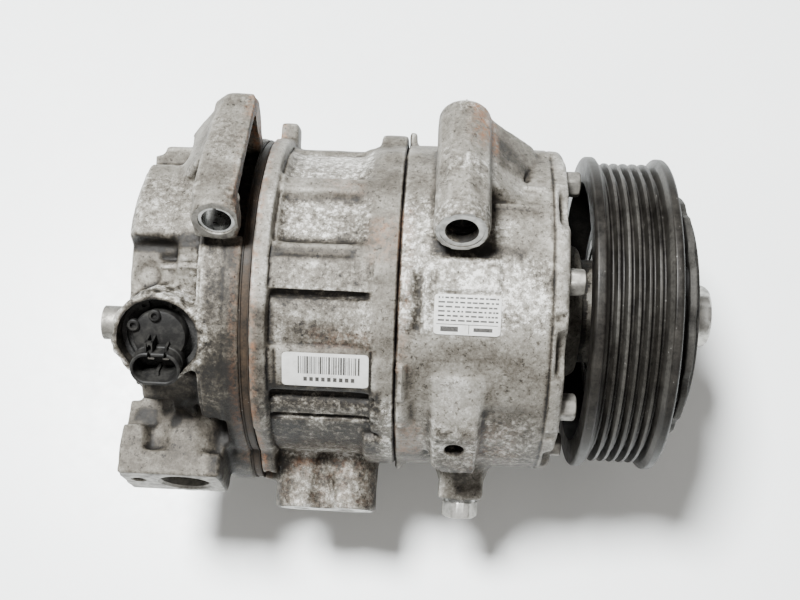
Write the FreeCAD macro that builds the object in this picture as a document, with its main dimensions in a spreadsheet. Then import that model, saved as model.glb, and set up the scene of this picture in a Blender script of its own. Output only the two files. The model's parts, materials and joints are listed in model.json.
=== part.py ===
import FreeCAD, Part
import math
import os
import Sketcher
from FreeCAD import Placement, Rotation, Vector

# A clutchless, externally controlled swash-plate compressor for a car's air conditioning.
# Everything is laid out about the shaft: +X runs along the shaft to the pulley, and X = 0 is the
# seam between the cylinder block and the front housing.  A place around the shaft is a clock angle,
# measured from +Z towards -Y.  At the end each piece is lifted so that the part stands on Z = 0.

SIZES = {
    # cylinder block, seam and cylinders
    "cylinders": 7, "bore_radius": 15.0, "bore_circle": 37.5, "bore_fit": 0.04,
    "block_rear": -50.4, "core_front": -14.0, "block_radius": 58.2, "flange_radius": 61.8,
    "flange_depth": 6.0, "seam_flange": 5.0, "chamber_radius": 54.0, "pad_radius": 60.2,
    "lobe_radius": 25.0, "lobe_circle": 46.0,
    # through bolts
    "bolt_circle": 52.5, "bolt_clock": 6.0, "bolt_radius": 3.0, "bolt_hole": 3.4,
    "bolt_head": 4.9, "bolt_head_high": 5.8, "bolt_tip": -66.5,
    # front housing
    "housing_radius": 61.4, "housing_front": 58.2, "chamber_front": 46.8, "nose_radius": 20.0,
    "nose_front": 96.0, "nose_bore": 14.0, "nose_root": 29.0,
    # rear head
    "head_front": -53.7, "head_skirt": -69.0, "head_radius": 50.5, "head_rear": -94.5,
    "suction_chamber": 32.0, "discharge_inner": 36.0, "discharge_outer": 48.0,
    "chamber_floor": -66.5,
    # mounting lugs
    "lug_clock": 67.0, "lug_side": 70.0, "lug_near": 27.0, "lug_far": 29.5, "lug_radius": 9.5,
    "lug_bore": 5.25, "front_lug_x": 20.5, "rear_lug_x": -60.8, "low_lug_side": 67.5,
    "low_lug_near": 22.0, "low_lug_far": 10.0, "low_lug_radius": 9.0, "sleeve_bore": 5.05,
    "foot_x": 25.0, "foot_y": 17.0, "foot_radius": 9.0,
    # ports
    "suction_clock": 85.0, "suction_x": -76.5, "suction_out": 75.5, "suction_bore": 9.0,
    "suction_bolt_x": -93.3, "discharge_clock": 93.0, "discharge_side": -14.8,
    "discharge_out": 80.3, "discharge_x": -18.5, "discharge_bore": 6.5,
    "discharge_bolt_x": -35.5, "discharge_lobe": 11.8, "port_thread": 2.5,
    # bracket boss and oil plug
    "boss_clock": 67.0, "boss_out": 66.0, "boss_x": 21.7, "boss_thread": 3.4,
    "plug_clock": 107.0, "plug_x": 25.7, "plug_boss": 8.5, "plug_out": 74.6,
    # control valve and relief valve
    "valve_clock": 32.0, "valve_x": -81.8, "valve_bore": 10.5, "valve_boss": 16.0,
    "valve_boss_out": 60.5, "valve_pocket": 14.0, "valve_pocket_out": 48.0,
    "shroud_side": 7.6, "shroud_half": 3.0, "shroud_radius": 5.7, "shroud_floor": 54.4,
    "shroud_top": 65.0,
    "relief_y": -17.9, "relief_z": 17.5, "relief_radius": 6.4,
    # shaft line
    "shaft_radius": 9.0, "shaft_rear": -48.0, "shaft_front": 112.0, "needle_cup": 12.0,
    # swash plate, shoes and rotor
    "plate_x": -6.0, "plate_radius": 44.8, "plate_half": 3.5, "plate_bore": 14.5,
    "shoe_ball": 8.5, "shoe_gap": 0.35, "socket_gap": 0.08,
    "rotor_radius": 47.0, "rotor_rear": 37.5, "rotor_front": 43.8,
    # pulley
    "pulley_rear": 66.6, "pulley_front": 96.9, "rim_radius": 59.8, "ridge_radius": 57.6,
    "groove_depth": 3.1, "rib_pitch": 3.56, "ribs": 6, "first_groove": 73.18,
    "rim_inner": 50.0, "web_rear": 84.0, "web_front": 90.0, "bearing_rear": 74.0,
    "bearing_front": 94.0, "bearing_outer": 31.0, "inner_race": 23.8, "outer_race": 27.2,
    "ball_circle": 25.5, "ball_radius": 3.4, "balls": 12,
    # hub
    "hub_radius": 46.0, "hub_rear": 101.4, "hub_front": 106.2, "damper_rear": 97.2,
    "nut_radius": 12.1, "nut_front": 118.0,
    # where the seam's centre stands: the origin is under the middle of the whole part
    "seam_x": -3.75, "shaft_y": 6.557, "shaft_height": 74.326,
}

doc = FreeCAD.newDocument("compressor")
sheet = doc.addObject("Spreadsheet::Sheet", "Sizes")
for row, (alias, number) in enumerate(SIZES.items(), start=1):
    sheet.set("A%d" % row, alias)
    sheet.set("B%d" % row, str(number))
    sheet.setAlias("B%d" % row, alias)
doc.recompute()


def size(alias):
    """The value of a driving dimension, read from the sheet."""
    return float(sheet.get(alias))


AXIAL = Rotation(Vector(0, 0, 1), Vector(0, -1, 0), Vector(1, 0, 0), "ZXY")
CYLINDERS = int(size("cylinders"))
STEP = 360.0 / CYLINDERS


# ---------------------------------------------------------------- small building functions

def spot(clock, radius):
    """Y and Z of a point at a clock angle and radius about the shaft."""
    turn = math.radians(clock)
    return -radius * math.sin(turn), radius * math.cos(turn)


def bind(thing, sizes):
    """Bind each property of an object to an expression over the sheet."""
    for prop, text in sizes.items():
        thing.setExpression(prop, str(text))
    return thing


def axial(kind, x, clock=0.0, radius=0.0, **sizes):
    """A primitive whose own Z runs along the shaft, at X = x, off the shaft by a clock radius."""
    y, z = spot(clock, radius)
    thing = bind(doc.addObject("Part::" + kind, kind), sizes)
    turn = Rotation(Vector(1, 0, 0), clock).multiply(AXIAL)
    thing.Placement = Placement(Vector(x, y, z), turn)
    return thing


def aimed(kind, clock, x, side, out, **sizes):
    """A primitive whose own Z points at a clock angle; side is across that, out is along it."""
    turn = Rotation(Vector(1, 0, 0), clock)
    thing = bind(doc.addObject("Part::" + kind, kind), sizes)
    thing.Placement = Placement(turn.multVec(Vector(x, side, out)), turn)
    return thing


def brick(clock, xs, sides, outs):
    """A box between two values of x, of side and of out, in the frame of a clock angle."""
    return aimed("Box", clock, xs[0], sides[0], outs[0], Length=xs[1] - xs[0],
                 Width=sides[1] - sides[0], Height=outs[1] - outs[0])


def drum(x0, x1, radius, clock=0.0, off=0.0, sweep=360):
    """A cylinder along the shaft from x0 to x1; with a sweep it is a sector from that clock angle."""
    return axial("Cylinder", x0, clock, off, Radius=radius, Height=x1 - x0, Angle=sweep)


def sector(x0, x1, radius, start, end):
    """A pie slice of a cylinder about the shaft, between two clock angles."""
    return drum(x0, x1, radius, clock=start, sweep=end - start)


def rod(clock, x, side, outs, radius):
    """A cylinder along a clock direction between two distances out."""
    return aimed("Cylinder", clock, x, side, outs[0], Radius=radius, Height=outs[1] - outs[0])


def fuse(*things):
    joined = doc.addObject("Part::MultiFuse", "Joined")
    joined.Shapes = list(things)
    return joined


def cut(base, *tools):
    result = doc.addObject("Part::Cut", "Trimmed")
    result.Base = base
    result.Tool = tools[0] if len(tools) == 1 else fuse(*tools)
    return result


def common(first, second):
    result = doc.addObject("Part::Common", "Shared")
    result.Base = first
    result.Tool = second
    return result


def group(things):
    """Several separate solids of one kind, kept as one sub-part."""
    result = doc.addObject("Part::Compound", "Group")
    result.Links = list(things)
    return result


def ring(x0, x1, inner, outer, clock=0.0, off=0.0):
    """A plain ring about the shaft, or about a parallel axis."""
    over = 1.0
    return cut(drum(x0, x1, outer, clock, off),
               axial("Cylinder", x0 - over, clock, off, Radius=inner, Height=x1 - x0 + 2 * over))


def outline_sketch(body, plane, points):
    """A closed polygon in a body's own plane, with every corner bound to its two expressions."""
    sketch = body.newObject("Sketcher::SketchObject", "Profile")
    origin = [f for f in body.Origin.OriginFeatures if f.Role == plane][0]
    sketch.AttachmentSupport = [(origin, "")]
    sketch.MapMode = "FlatFace"
    doc.recompute()
    values = [tuple(evaluate(text) for text in point) for point in points]
    count = len(points)
    for i in range(count):
        start, end = values[i], values[(i + 1) % count]
        sketch.addGeometry(Part.LineSegment(Vector(*start, 0), Vector(*end, 0)), False)
    for i in range(count):
        sketch.addConstraint(Sketcher.Constraint("Coincident", i, 2, (i + 1) % count, 1))
    for i, point in enumerate(points):
        for kind, text, value in zip(("DistanceX", "DistanceY"), point, values[i]):
            number = sketch.addConstraint(Sketcher.Constraint(kind, -1, 1, i, 1, value))
            sketch.setExpression("Constraints[%d]" % number, str(text))
    return sketch


def evaluate(text):
    """The present value of an expression over the sheet."""
    return float(sheet.evalExpression(str(text).replace("Sizes.", "")))


def turned(points):
    """A piece turned about the shaft from its half section, given as (x, radius) pairs."""
    body = doc.addObject("PartDesign::Body", "Turned")
    sketch = outline_sketch(body, "XZ_Plane", points)
    revolution = body.newObject("PartDesign::Revolution", "Revolution")
    revolution.Profile = sketch
    revolution.ReferenceAxis = (sketch, ["H_Axis"])
    revolution.Angle = 360.0
    body.Tip = revolution
    return body


def hexagon(x0, x1, corner_radius, clock=0.0, off=0.0):
    """A six-sided prism along the shaft's direction."""
    return axial("Prism", x0, clock, off, Polygon=6, Circumradius=corner_radius, Height=x1 - x0)


def chamfered_hexagon(x0, x1, corner_radius, clock=0.0, off=0.0):
    """A nut or bolt head whose corners are turned down by a cone."""
    tall = x1 - x0
    cone = axial("Cone", x0, clock, off, Radius1=corner_radius + tall, Radius2=corner_radius * 0.9,
                 Height=tall)
    return common(hexagon(x0, x1, corner_radius, clock, off), cone)


def holes(x0, x1, radius, circle, start, count=CYLINDERS):
    """Equal cylinders on a circle about the shaft."""
    return [drum(x0, x1, radius, start + i * 360.0 / count, circle) for i in range(count)]


def sub_part(name, thing):
    """Give a finished piece its name and lift it to its place above the ground."""
    thing.Label = name
    own = thing.Placement
    lift = Vector(size("seam_x"), size("shaft_y"), size("shaft_height"))
    thing.Placement = Placement(lift, Rotation()).multiply(own)
    SUB_PARTS.append(thing)
    return thing


SUB_PARTS = []

# ---------------------------------------------------------------- shared places

FLANGE = size("flange_radius")
BOLT = size("bolt_circle")
BOLT_CLOCK = size("bolt_clock")
BORES = size("bore_circle")
FIRST_BORE = BOLT_CLOCK + STEP / 2
LOBE_CLOCK = size("plug_clock")
LUG = size("lug_clock")
PASSAGE = 60.0


def flange_disc(x0, x1, shrink=0.0):
    """A disc with the outline shared by the block, the head and the plates between them."""
    return fuse(drum(x0, x1, FLANGE - shrink),
                drum(x0, x1, size("lobe_radius") - shrink, LOBE_CLOCK, size("lobe_circle")))


def bolt_holes(x0, x1, radius):
    return holes(x0, x1, radius, BOLT, BOLT_CLOCK)


# ---------------------------------------------------------------- cylinder block

def lug_tube(x, side, outs, radius):
    return rod(LUG, x, side, outs, radius)


def gusset(xs, sides, outs):
    """A triangular web beside a lug: full height at xs[0], falling to sides[1] at xs[1]."""
    turn = Rotation(Vector(1, 0, 0), LUG)
    low, high, end = sides
    corners = [(xs[0], low), (xs[0], high), (xs[1], end), (xs[1], low)]
    points = [Vector(x, side, outs[0]) for x, side in corners]
    face = Part.Face(Part.makePolygon(points + points[:1]))
    web = doc.addObject("Part::Feature", "Gusset")
    web.Shape = face.extrude(Vector(0, 0, outs[1] - outs[0]))
    web.Placement = Placement(Vector(0, 0, 0), turn)
    return web


def cylinder_block():
    rear, front = size("block_rear"), 0.0
    core = size("core_front")
    body = [flange_disc(rear, rear + size("flange_depth")),
            drum(rear, front, size("block_radius")),
            drum(-size("seam_flange"), front, size("housing_radius"))]
    pad = size("pad_radius")
    body += [sector(-43.0, -6.0, pad, -30.5, -22.5),
             sector(-44.0, -5.0, pad, -2.0, 14.0),
             sector(-43.0, -4.0, pad, 33.0, 49.0),
             sector(-43.0, -4.0, pad - 1.0, 55.0, 100.0)]
    # bolt tabs beside the seam, one on top of each bolt, and the two locating bosses
    body += [drum(-8.5, front, 9.0, BOLT_CLOCK + i * STEP, 53.4) for i in range(CYLINDERS)]
    body += [brick(-73.0, (-51.0 + 0.9, -43.2), (-5.0, 7.0), (50.0, 68.2)),
             drum(-10.2, front, 9.5, -66.0, 55.5)]
    # discharge block with its two lobes
    clock, side, out = size("discharge_clock"), size("discharge_side"), size("discharge_out")
    lobe = size("discharge_lobe")
    port_x, screw_x = size("discharge_x"), size("discharge_bolt_x")
    body += [rod(clock, port_x, side, (38.0, out), lobe),
             rod(clock, screw_x, side, (38.0, out), lobe - 1.5),
             brick(clock, (screw_x, port_x), (side - 9.0, side + 7.5), (38.0, out))]
    bores = holes(rear - 1, core + 1, size("bore_radius"), BORES, FIRST_BORE)
    tools = bores + bolt_holes(rear - 1, front + 1, size("bolt_hole"))
    tools += [drum(core, front + 1, size("chamber_radius")),
              drum(rear - 1, core + 1, size("needle_cup")),
              drum(core - 8.0, core + 1, 16.0),
              rod(clock, port_x, side, (60.0, out + 1), size("discharge_bore")),
              rod(clock, screw_x, side, (out - 18.0, out + 1), size("port_thread")),
              drum(rear - 1, -14.0, 4.0, LOBE_CLOCK - 4.0, PASSAGE + 1.5)]
    return sub_part("cylinder_block", cut(fuse(*body), *tools))


# ---------------------------------------------------------------- front housing

def bracket_boss():
    """A wedge whose top is tangent to the housing and whose face carries a threaded hole."""
    clock, out = size("boss_clock"), size("boss_out")
    top, reach = 40.0, size("housing_radius") + 0.8
    middle = size("boss_x")
    lean = math.radians(clock - top)
    tip = (reach - out * math.cos(lean)) / math.sin(lean)
    back = 40.0
    corners = [(tip, out), (-17.0, out), (-17.0, back), (25.0, back),
               (reach * math.sin(lean), reach * math.cos(lean))]
    points = [Vector(middle - 8.2, side, far) for side, far in corners]
    face = Part.Face(Part.makePolygon(points + points[:1]))
    wedge = doc.addObject("Part::Feature", "Wedge")
    wedge.Shape = face.extrude(Vector(16.4, 0, 0))
    wedge.Placement = Placement(Vector(0, 0, 0), Rotation(Vector(1, 0, 0), clock))
    return wedge


def front_housing():
    front, radius = size("housing_front"), size("housing_radius")
    nose, tip = size("nose_radius"), size("nose_front")
    near, far = size("lug_near"), -size("lug_far")
    x, side = size("front_lug_x"), size("lug_side")
    low = -size("low_lug_side")
    body = [drum(0.0, front - 2.0, radius),
            axial("Cone", front - 2.0, Radius1=radius, Radius2=radius - 2.0, Height=2.0),
            axial("Cone", front, Radius1=size("nose_root"), Radius2=nose + 4.0, Height=9.0),
            drum(front, tip, nose)]
    body += [drum(0.0, 5.0, 9.0, BOLT_CLOCK + i * STEP, 53.4) for i in range(CYLINDERS)]
    # upper lug: a tube on a broad web, with a gusset on its pulley side
    body += [lug_tube(x, side, (far, near), size("lug_radius")),
             brick(LUG, (x - 9.0, x + 9.0), (30.0, side), (far, 14.0)),
             brick(LUG, (x - 9.0, x + 9.0), (side - 9.5, side), (10.0, near - 4.0)),
             gusset((x + 8.5, 46.5), (40.0, 72.0, 58.0), (far, 4.0))]
    # lower lug, and the boss beside it that the part rests on with its two lower lugs
    body += [lug_tube(x, low, (-size("low_lug_far"), size("low_lug_near")),
                      size("low_lug_radius")),
             brick(LUG, (x - 8.0, x + 8.0), (low, -35.0), (-size("low_lug_far"), 16.0)),
             rod(180.0, size("foot_x"), -size("foot_y"), (45.0, size("shaft_height")),
                 size("foot_radius"))]
    plug_clock, plug_x = size("plug_clock"), size("plug_x")
    body += [bracket_boss(),
             rod(plug_clock, plug_x, 0.0, (45.0, size("plug_out")), size("plug_boss")),
             brick(-73.0, (0.0, 3.0), (-3.0, 8.0), (50.0, 67.0)),
             drum(0.0, 2.6, 10.0, 101.0, 54.5)]
    bore, wall = size("nose_bore"), size("chamber_front")
    tools = [drum(-1.0, wall, size("chamber_radius")),
             drum(wall - 1, tip + 1, size("needle_cup")),
             drum(front - 1.0, tip + 1, bore),
             lug_tube(x, side, (far - 1, near + 1), size("lug_bore")),
             lug_tube(x, low, (-size("low_lug_far") - 1, size("low_lug_near") + 1),
                      size("lug_bore")),
             rod(size("boss_clock"), size("boss_x"), -1.5, (size("boss_out") - 11.0,
                                                           size("boss_out") + 1),
                 size("boss_thread")),
             rod(plug_clock, plug_x, 0.0, (50.0, size("plug_out") + 1), 5.0),
             ring(-1.0, 1.9, 56.5, 59.1),
             ring(73.0, 74.2, bore - 1.0, bore + 1.2)]
    tools += bolt_holes(-1.0, front + 1, size("bolt_hole"))
    return sub_part("front_housing", cut(fuse(*body), *tools))


# ---------------------------------------------------------------- rear head

def plug_outline(outs, radius):
    """The oval of the connector's shroud, which stands beside the control valve's axis."""
    clock, x, side = size("valve_clock"), size("valve_x"), -size("shroud_side")
    half = size("shroud_half")
    return fuse(rod(clock, x - half, side, outs, radius),
                rod(clock, x + half, side, outs, radius),
                brick(clock, (x - half, x + half), (side - radius, side + radius), outs))


def rear_head():
    front, rear = size("head_front"), size("head_rear")
    x, side = size("rear_lug_x"), size("lug_side")
    near, far = size("lug_near"), -size("lug_far")
    low = -size("low_lug_side")
    clock = size("suction_clock")
    out = size("suction_out")
    valve_clock, valve_x = size("valve_clock"), size("valve_x")
    body = [flange_disc(front - 9.0, front),
            drum(size("head_skirt"), front, FLANGE - 0.8),
            drum(rear, front, size("head_radius")),
            sector(rear + 1.0, front, 57.5, -78.0, -3.0),
            sector(rear + 3.5, front, 54.5, 48.0, 190.0),
            sector(rear + 8.0, front, 56.0, 190.0, 282.0)]
    # upper lug, its rear gusset and the thin wall on its gasket side
    body += [lug_tube(x, side, (far, near), size("lug_radius") - 0.6),
             brick(LUG, (x - 8.6, x + 7.0), (30.0, side + 5.0), (far, 14.0)),
             brick(LUG, (x - 8.6, x + 6.4), (side - 9.0, side + 2.0), (10.0, near - 0.5)),
             gusset((x - 8.0, -82.0), (40.0, 73.0, 55.0), (far, -4.0))]
    body += [lug_tube(x, low, (-size("low_lug_far"), size("low_lug_near")),
                      size("low_lug_radius") - 1.9),
             brick(LUG, (x - 7.0, x + 7.0), (low, -35.0), (-size("low_lug_far"), 16.0))]
    body += [brick(clock, (-99.5, -62.0), (-12.5, 13.0), (46.0, out)),
             rod(valve_clock, valve_x, 0.0, (20.0, size("valve_boss_out")), size("valve_boss")),
             axial("Cylinder", rear - 6.0, Radius=9.0, Height=12.0)]
    body[-1].Placement.Base = Vector(rear - 6.0, size("relief_y"), size("relief_z"))
    tools = [drum(size("chamber_floor"), front + 1, size("suction_chamber")),
             ring(size("chamber_floor"), front + 1, size("discharge_inner"),
                  size("discharge_outer")),
             rod(clock, size("suction_x"), 0.0, (out - 28.0, out + 1), size("suction_bore")),
             rod(clock, size("suction_x"), 0.0, (24.0, out - 27.0), 6.5),
             drum(size("suction_x"), front + 1, 6.0, clock, 25.0),
             rod(clock, size("suction_bolt_x"), 1.9, (out - 15.0, out + 1), size("port_thread")),
             rod(valve_clock, valve_x, 0.0, (-14.0, 62.0), size("valve_bore")),
             rod(valve_clock, valve_x, 0.0, (size("valve_pocket_out"), 62.0),
                 size("valve_pocket")),
             plug_outline((size("shroud_floor") - 0.4, 62.0), size("shroud_radius") + 0.4),
             lug_tube(x, side, (far - 1, near + 1), size("lug_bore")),
             lug_tube(x, low, (-size("low_lug_far") - 1, size("low_lug_near") + 1),
                      size("lug_bore") - 1.0),
             lug_tube(x, side, (near - 12.0, near + 1), size("lug_bore") + 0.9)]
    thread = axial("Cylinder", rear - 7.0, Radius=4.0, Height=8.0)
    thread.Placement.Base = Vector(rear - 7.0, size("relief_y"), size("relief_z"))
    tools += [thread]
    tools += bolt_holes(size("bolt_tip") - 1.0, front + 1, size("bolt_radius") + 0.04)
    return sub_part("rear_head", cut(fuse(*body), *tools))


# ---------------------------------------------------------------- plates between head and block

def plates():
    """The head gasket, reed plates and valve plate, each with the openings it has."""
    layers = [("head_gasket", 0.5, 0.5), ("discharge_reed_plate", 0.3, 1.0),
              ("valve_plate", 1.8, 0.9), ("suction_reed_plate", 0.3, 1.0),
              ("block_gasket", 0.4, 0.5)]
    x = size("head_front")
    for name, thick, shrink in layers:
        end = x + thick
        over = (x - 1, end + 1)
        tools = bolt_holes(*over, size("bolt_hole"))
        tools += [drum(*over, 4.0, LOBE_CLOCK - 4.0, PASSAGE + 1.5)]
        if name == "head_gasket":
            spokes = [drum(*over, 2.5, i * 90.0, 42.0) for i in range(4)]
            spokes += [drum(*over, 4.0, i * 90.0, off) for i in range(4) for off in (37.5, 47.0)]
            tools += [drum(*over, 31.0), cut(ring(*over, 37.0, 47.5), *spokes)]
        elif name == "block_gasket":
            tools += [drum(*over, size("needle_cup"))]
            tools += holes(*over, size("bore_radius") + 0.3, BORES, FIRST_BORE)
        else:
            tools += [drum(*over, 2.0)]
            tools += holes(*over, 3.0, 42.5, FIRST_BORE)
            tools += holes(*over, 3.6, 28.0, FIRST_BORE)
        sub_part(name, cut(flange_disc(x, end, shrink), *tools))
        x = end


# ---------------------------------------------------------------- fasteners and seals

def through_bolts():
    front = size("housing_front")
    bolts = []
    for i in range(CYLINDERS):
        clock = BOLT_CLOCK + i * STEP
        stem = drum(size("bolt_tip"), front + 1, size("bolt_radius"), clock, BOLT)
        head = chamfered_hexagon(front, front + size("bolt_head_high"), size("bolt_head"), clock,
                                 BOLT)
        bolts.append(fuse(stem, head))
    return sub_part("through_bolts", group(bolts))


def oil_plug():
    clock, x, out = size("plug_clock"), size("plug_x"), size("plug_out")
    head = aimed("Prism", clock, x, 0.0, out + 1.2, Polygon=6, Circumradius=7.0, Height=6.4)
    stem = rod(clock, x, 0.0, (out - 14.0, out + 2.0), 4.95)
    sub_part("oil_plug", fuse(head, stem))
    washer = cut(rod(clock, x, 0.0, (out, out + 1.2), 6.4),
                 rod(clock, x, 0.0, (out - 1, out + 3.0), 4.98))
    sub_part("oil_plug_washer", washer)


def seam_seal():
    torus = axial("Torus", 0.95, Radius1=57.8, Radius2=0.94)
    return sub_part("seam_seal_ring", torus)


def lug_sleeve():
    """A split steel sleeve pressed in the rear lug's near end, which centres the mounting bolt."""
    near = size("lug_near")
    outer = size("lug_bore") + 0.9
    x, side = size("rear_lug_x"), size("lug_side")
    tube = cut(lug_tube(x, side, (near - 12.0, near - 0.8), outer),
               lug_tube(x, side, (near - 13.0, near + 1.0), size("sleeve_bore")),
               brick(LUG, (x - 0.6, x + 0.6), (side + 2.0, side + 9.0), (near - 13.0, near + 1)))
    return sub_part("rear_lug_sleeve", tube)


# ---------------------------------------------------------------- control valve and relief valve

def control_valve():
    clock, x = size("valve_clock"), size("valve_x")
    bore = size("valve_bore")
    pocket = size("valve_pocket_out")
    body = fuse(rod(clock, x, 0.0, (-12.0, 20.0), bore - 1.6),
                rod(clock, x, 0.0, (20.0, pocket), bore - 0.3),
                rod(clock, x, 0.0, (pocket, pocket + 4.5), 12.6))
    body = cut(body, *[groove(clock, x, out, bore - 1.6) for out in (-6.0, 4.0, 14.0)],
               rod(clock, x, 0.0, (-13.0, 12.0), 3.2))
    sub_part("control_valve_body", body)
    rings = [aimed("Torus", clock, x, 0.0, out, Radius1=bore - 1.25, Radius2=1.1)
             for out in (-6.0, 4.0, 14.0)]
    sub_part("valve_seal_rings", group(rings))
    sub_part("valve_plunger", rod(clock, x, 0.0, (-10.0, 10.6), 3.1))
    # connector: a round cap, and above the snap ring the plug's shroud beside it, towards -Y
    floor, top = pocket + 4.5, size("shroud_top")
    base, outer = size("shroud_floor"), size("shroud_radius")
    cap = rod(clock, x, 0.0, (floor, floor + 5.5), 9.4)
    foot = common(plug_outline((floor, base), outer), rod(clock, x, 0.0, (floor, base), 12.0))
    side = -size("shroud_side")
    latch = brick(clock, (x - 3.5, x - 1.0), (side + outer - 0.6, side + 9.0),
                  (floor + 3.0, 62.5))
    well = base + 1.5
    sub_part("valve_connector", cut(fuse(cap, foot, plug_outline((base, top), outer), latch),
                                    plug_outline((well, top + 1.0), outer - 1.3)))
    pins = [brick(clock, (x + d - 1.1, x + d + 1.1), (side - 0.3, side + 0.3),
                  (well, well + 3.4)) for d in (-2.6, 2.6)]
    sub_part("connector_pins", group(pins))
    clip = cut(rod(clock, x, 0.0, (floor + 0.2, floor + 1.5), 13.9),
               rod(clock, x, 0.0, (floor - 1, floor + 3.0), 12.2),
               brick(clock, (x - 3.4, x + 2.2), (10.0, 16.0), (floor - 1, floor + 3.0)))
    ears = [cut(rod(clock, x + dx, 9.9, (floor + 0.2, floor + 1.5), 2.1),
                rod(clock, x + dx, 9.9, (floor - 1, floor + 3.0), 0.9))
            for dx in (-6.0, 4.6)]
    clip = cut(fuse(clip, *ears), rod(clock, x, 0.0, (floor - 1, floor + 3.0), 9.6))
    sub_part("valve_snap_ring", clip)


def groove(clock, x, out, radius):
    """The ring cut away for one of the valve's seal rings."""
    return cut(rod(clock, x, 0.0, (out - 1.2, out + 1.2), radius + 2.0),
               rod(clock, x, 0.0, (out - 2.0, out + 2.0), radius - 1.9))


def relief_valve():
    """Screwed in the head's rear boss; its cap is plain, with a vent hole across it."""
    start = size("head_rear") - 6.0
    cap = axial("Cylinder", start - 10.0, Radius=size("relief_radius"), Height=10.0)
    stem = axial("Cylinder", start - 1.0, Radius=3.9, Height=7.5)
    vent = axial("Cylinder", start - 11.0, Radius=2.2, Height=6.0)
    for thing in (cap, stem, vent):
        x = thing.Placement.Base.x
        thing.Placement.Base = Vector(x, size("relief_y"), size("relief_z"))
    return sub_part("relief_valve", cut(fuse(cap, stem), vent))


# ---------------------------------------------------------------- shaft line

def shaft_line():
    sub_part("drive_shaft", turned([
        ("Sizes.shaft_rear", 0), ("Sizes.shaft_rear", "Sizes.shaft_radius - 1"),
        ("Sizes.shaft_rear + 1", "Sizes.shaft_radius"), (99, "Sizes.shaft_radius"),
        (99, 7.5), ("Sizes.shaft_front", 7.5), ("Sizes.shaft_front + 2.5", 5),
        ("Sizes.shaft_front + 2.5", 0)]))
    radius, cup = size("shaft_radius") + 0.05, size("needle_cup")
    sub_part("rear_needle_bearing", ring(-45.0, -33.0, radius, cup))
    sub_part("front_needle_bearing", ring(47.2, 57.0, radius, cup))
    sub_part("shaft_seal", ring(60.0, 72.6, radius, size("nose_bore")))
    clip = cut(ring(73.1, 74.1, 11.0, size("nose_bore") + 1.1),
               brick(0.0, (72.0, 75.0), (-4.0, 4.0), (8.0, 18.0)))
    sub_part("seal_snap_ring", clip)
    front = size("rotor_front")
    sub_part("front_thrust_bearing", ring(front, size("chamber_front"), 18.0, 30.0))
    sub_part("rear_thrust_washer", ring(-50.2, -48.1, 3.0, size("needle_cup") - 0.3))
    # return spring, two open turns about the shaft between the block and the swash plate;
    # its path is one edge a turn
    helix = bind(doc.addObject("Part::Helix", "Coil"), {"Pitch": 2.6, "Height": 5.2,
                                                       "Radius": 11.4, "SegmentLength": 1})
    wire = bind(doc.addObject("Part::Circle", "Wire"), {"Radius": 0.8})
    wire.Placement = Placement(Vector(11.4, 0, 0), Rotation(Vector(1, 0, 0), 90))
    spring = doc.addObject("Part::Sweep", "Spring")
    spring.Sections = [wire]
    doc.recompute()
    spring.Spine = (helix, ["Edge%d" % (i + 1) for i in range(len(helix.Shape.Edges))])
    spring.Solid = True
    spring.Frenet = True
    spring.Placement = Placement(Vector(-20.4, 0, 0), AXIAL)
    sub_part("return_spring", spring)


def rotor():
    """The lug plate that drives the swash plate, with its two short hinge ears."""
    rear, front = size("rotor_rear"), size("rotor_front")
    bore = size("shaft_radius")
    disc = fuse(drum(rear, front, size("rotor_radius")), drum(rear - 7.0, rear + 1, 16.0),
                brick(FIRST_BORE, (rear - 4.6, rear + 1), (-14.0, -7.0), (20.0, 34.0)),
                brick(FIRST_BORE, (rear - 4.6, rear + 1), (7.0, 14.0), (20.0, 34.0)),
                sector(rear - 4.0, rear + 1, 45.0, FIRST_BORE + 130.0, FIRST_BORE + 230.0))
    sub_part("lug_plate", cut(disc, drum(rear - 10.0, front + 1, bore)))


# ---------------------------------------------------------------- swash plate, pistons, shoes

def swash_plate():
    x, half = size("plate_x"), size("plate_half")
    ear = brick(FIRST_BORE, (x + half - 1, x + 19.0), (-5.0, 5.0), (15.5, 21.5))
    disc = fuse(drum(x - half, x + half, size("plate_radius")), drum(x - 6.0, x + 6.0, 22.0),
                ear)
    sub_part("swash_plate", cut(disc, drum(x - 7.0, x + 20.0, size("plate_bore"))))


def piston(number):
    """A single-headed piston: its bridge runs outside the swash plate's rim to the front socket."""
    clock = FIRST_BORE + number * STEP
    x = size("plate_x")
    radius = size("bore_radius") - size("bore_fit")
    slot, socket, bridge = 9.6, 6.9, 9.3
    barrel = drum(size("block_rear") + 0.5, x + slot + 4.0, radius, clock, BORES)
    gap = brick(clock, (x - slot, x + slot), (-20.0, 20.0), (BORES - 20.0, BORES + bridge))
    relief = brick(clock, (x - slot, x + slot + 5.0), (-20.0, 20.0), (BORES - 20.0, BORES - 8.6))
    seats = [drum(x - slot - 1, x - socket, 8.0, clock, BORES),
             drum(x + socket, x + slot + 1, 8.0, clock, BORES)]
    ball = axial("Sphere", x, clock, BORES, Radius=size("shoe_ball") + size("socket_gap"))
    skirt = drum(-42.0, -22.0, 10.5, clock, BORES)
    oil_hole = drum(-23.0, x - socket, 1.5, clock, BORES)
    rings = [cut(drum(at, at + 1.0, radius + 1, clock, BORES),
                 drum(at - 1, at + 2.0, radius - 0.8, clock, BORES)) for at in (-47.0, -44.0)]
    return sub_part("piston_%d" % (number + 1),
                    cut(fuse(cut(barrel, gap), *seats), relief, ball, skirt, oil_hole, *rings))


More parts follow.
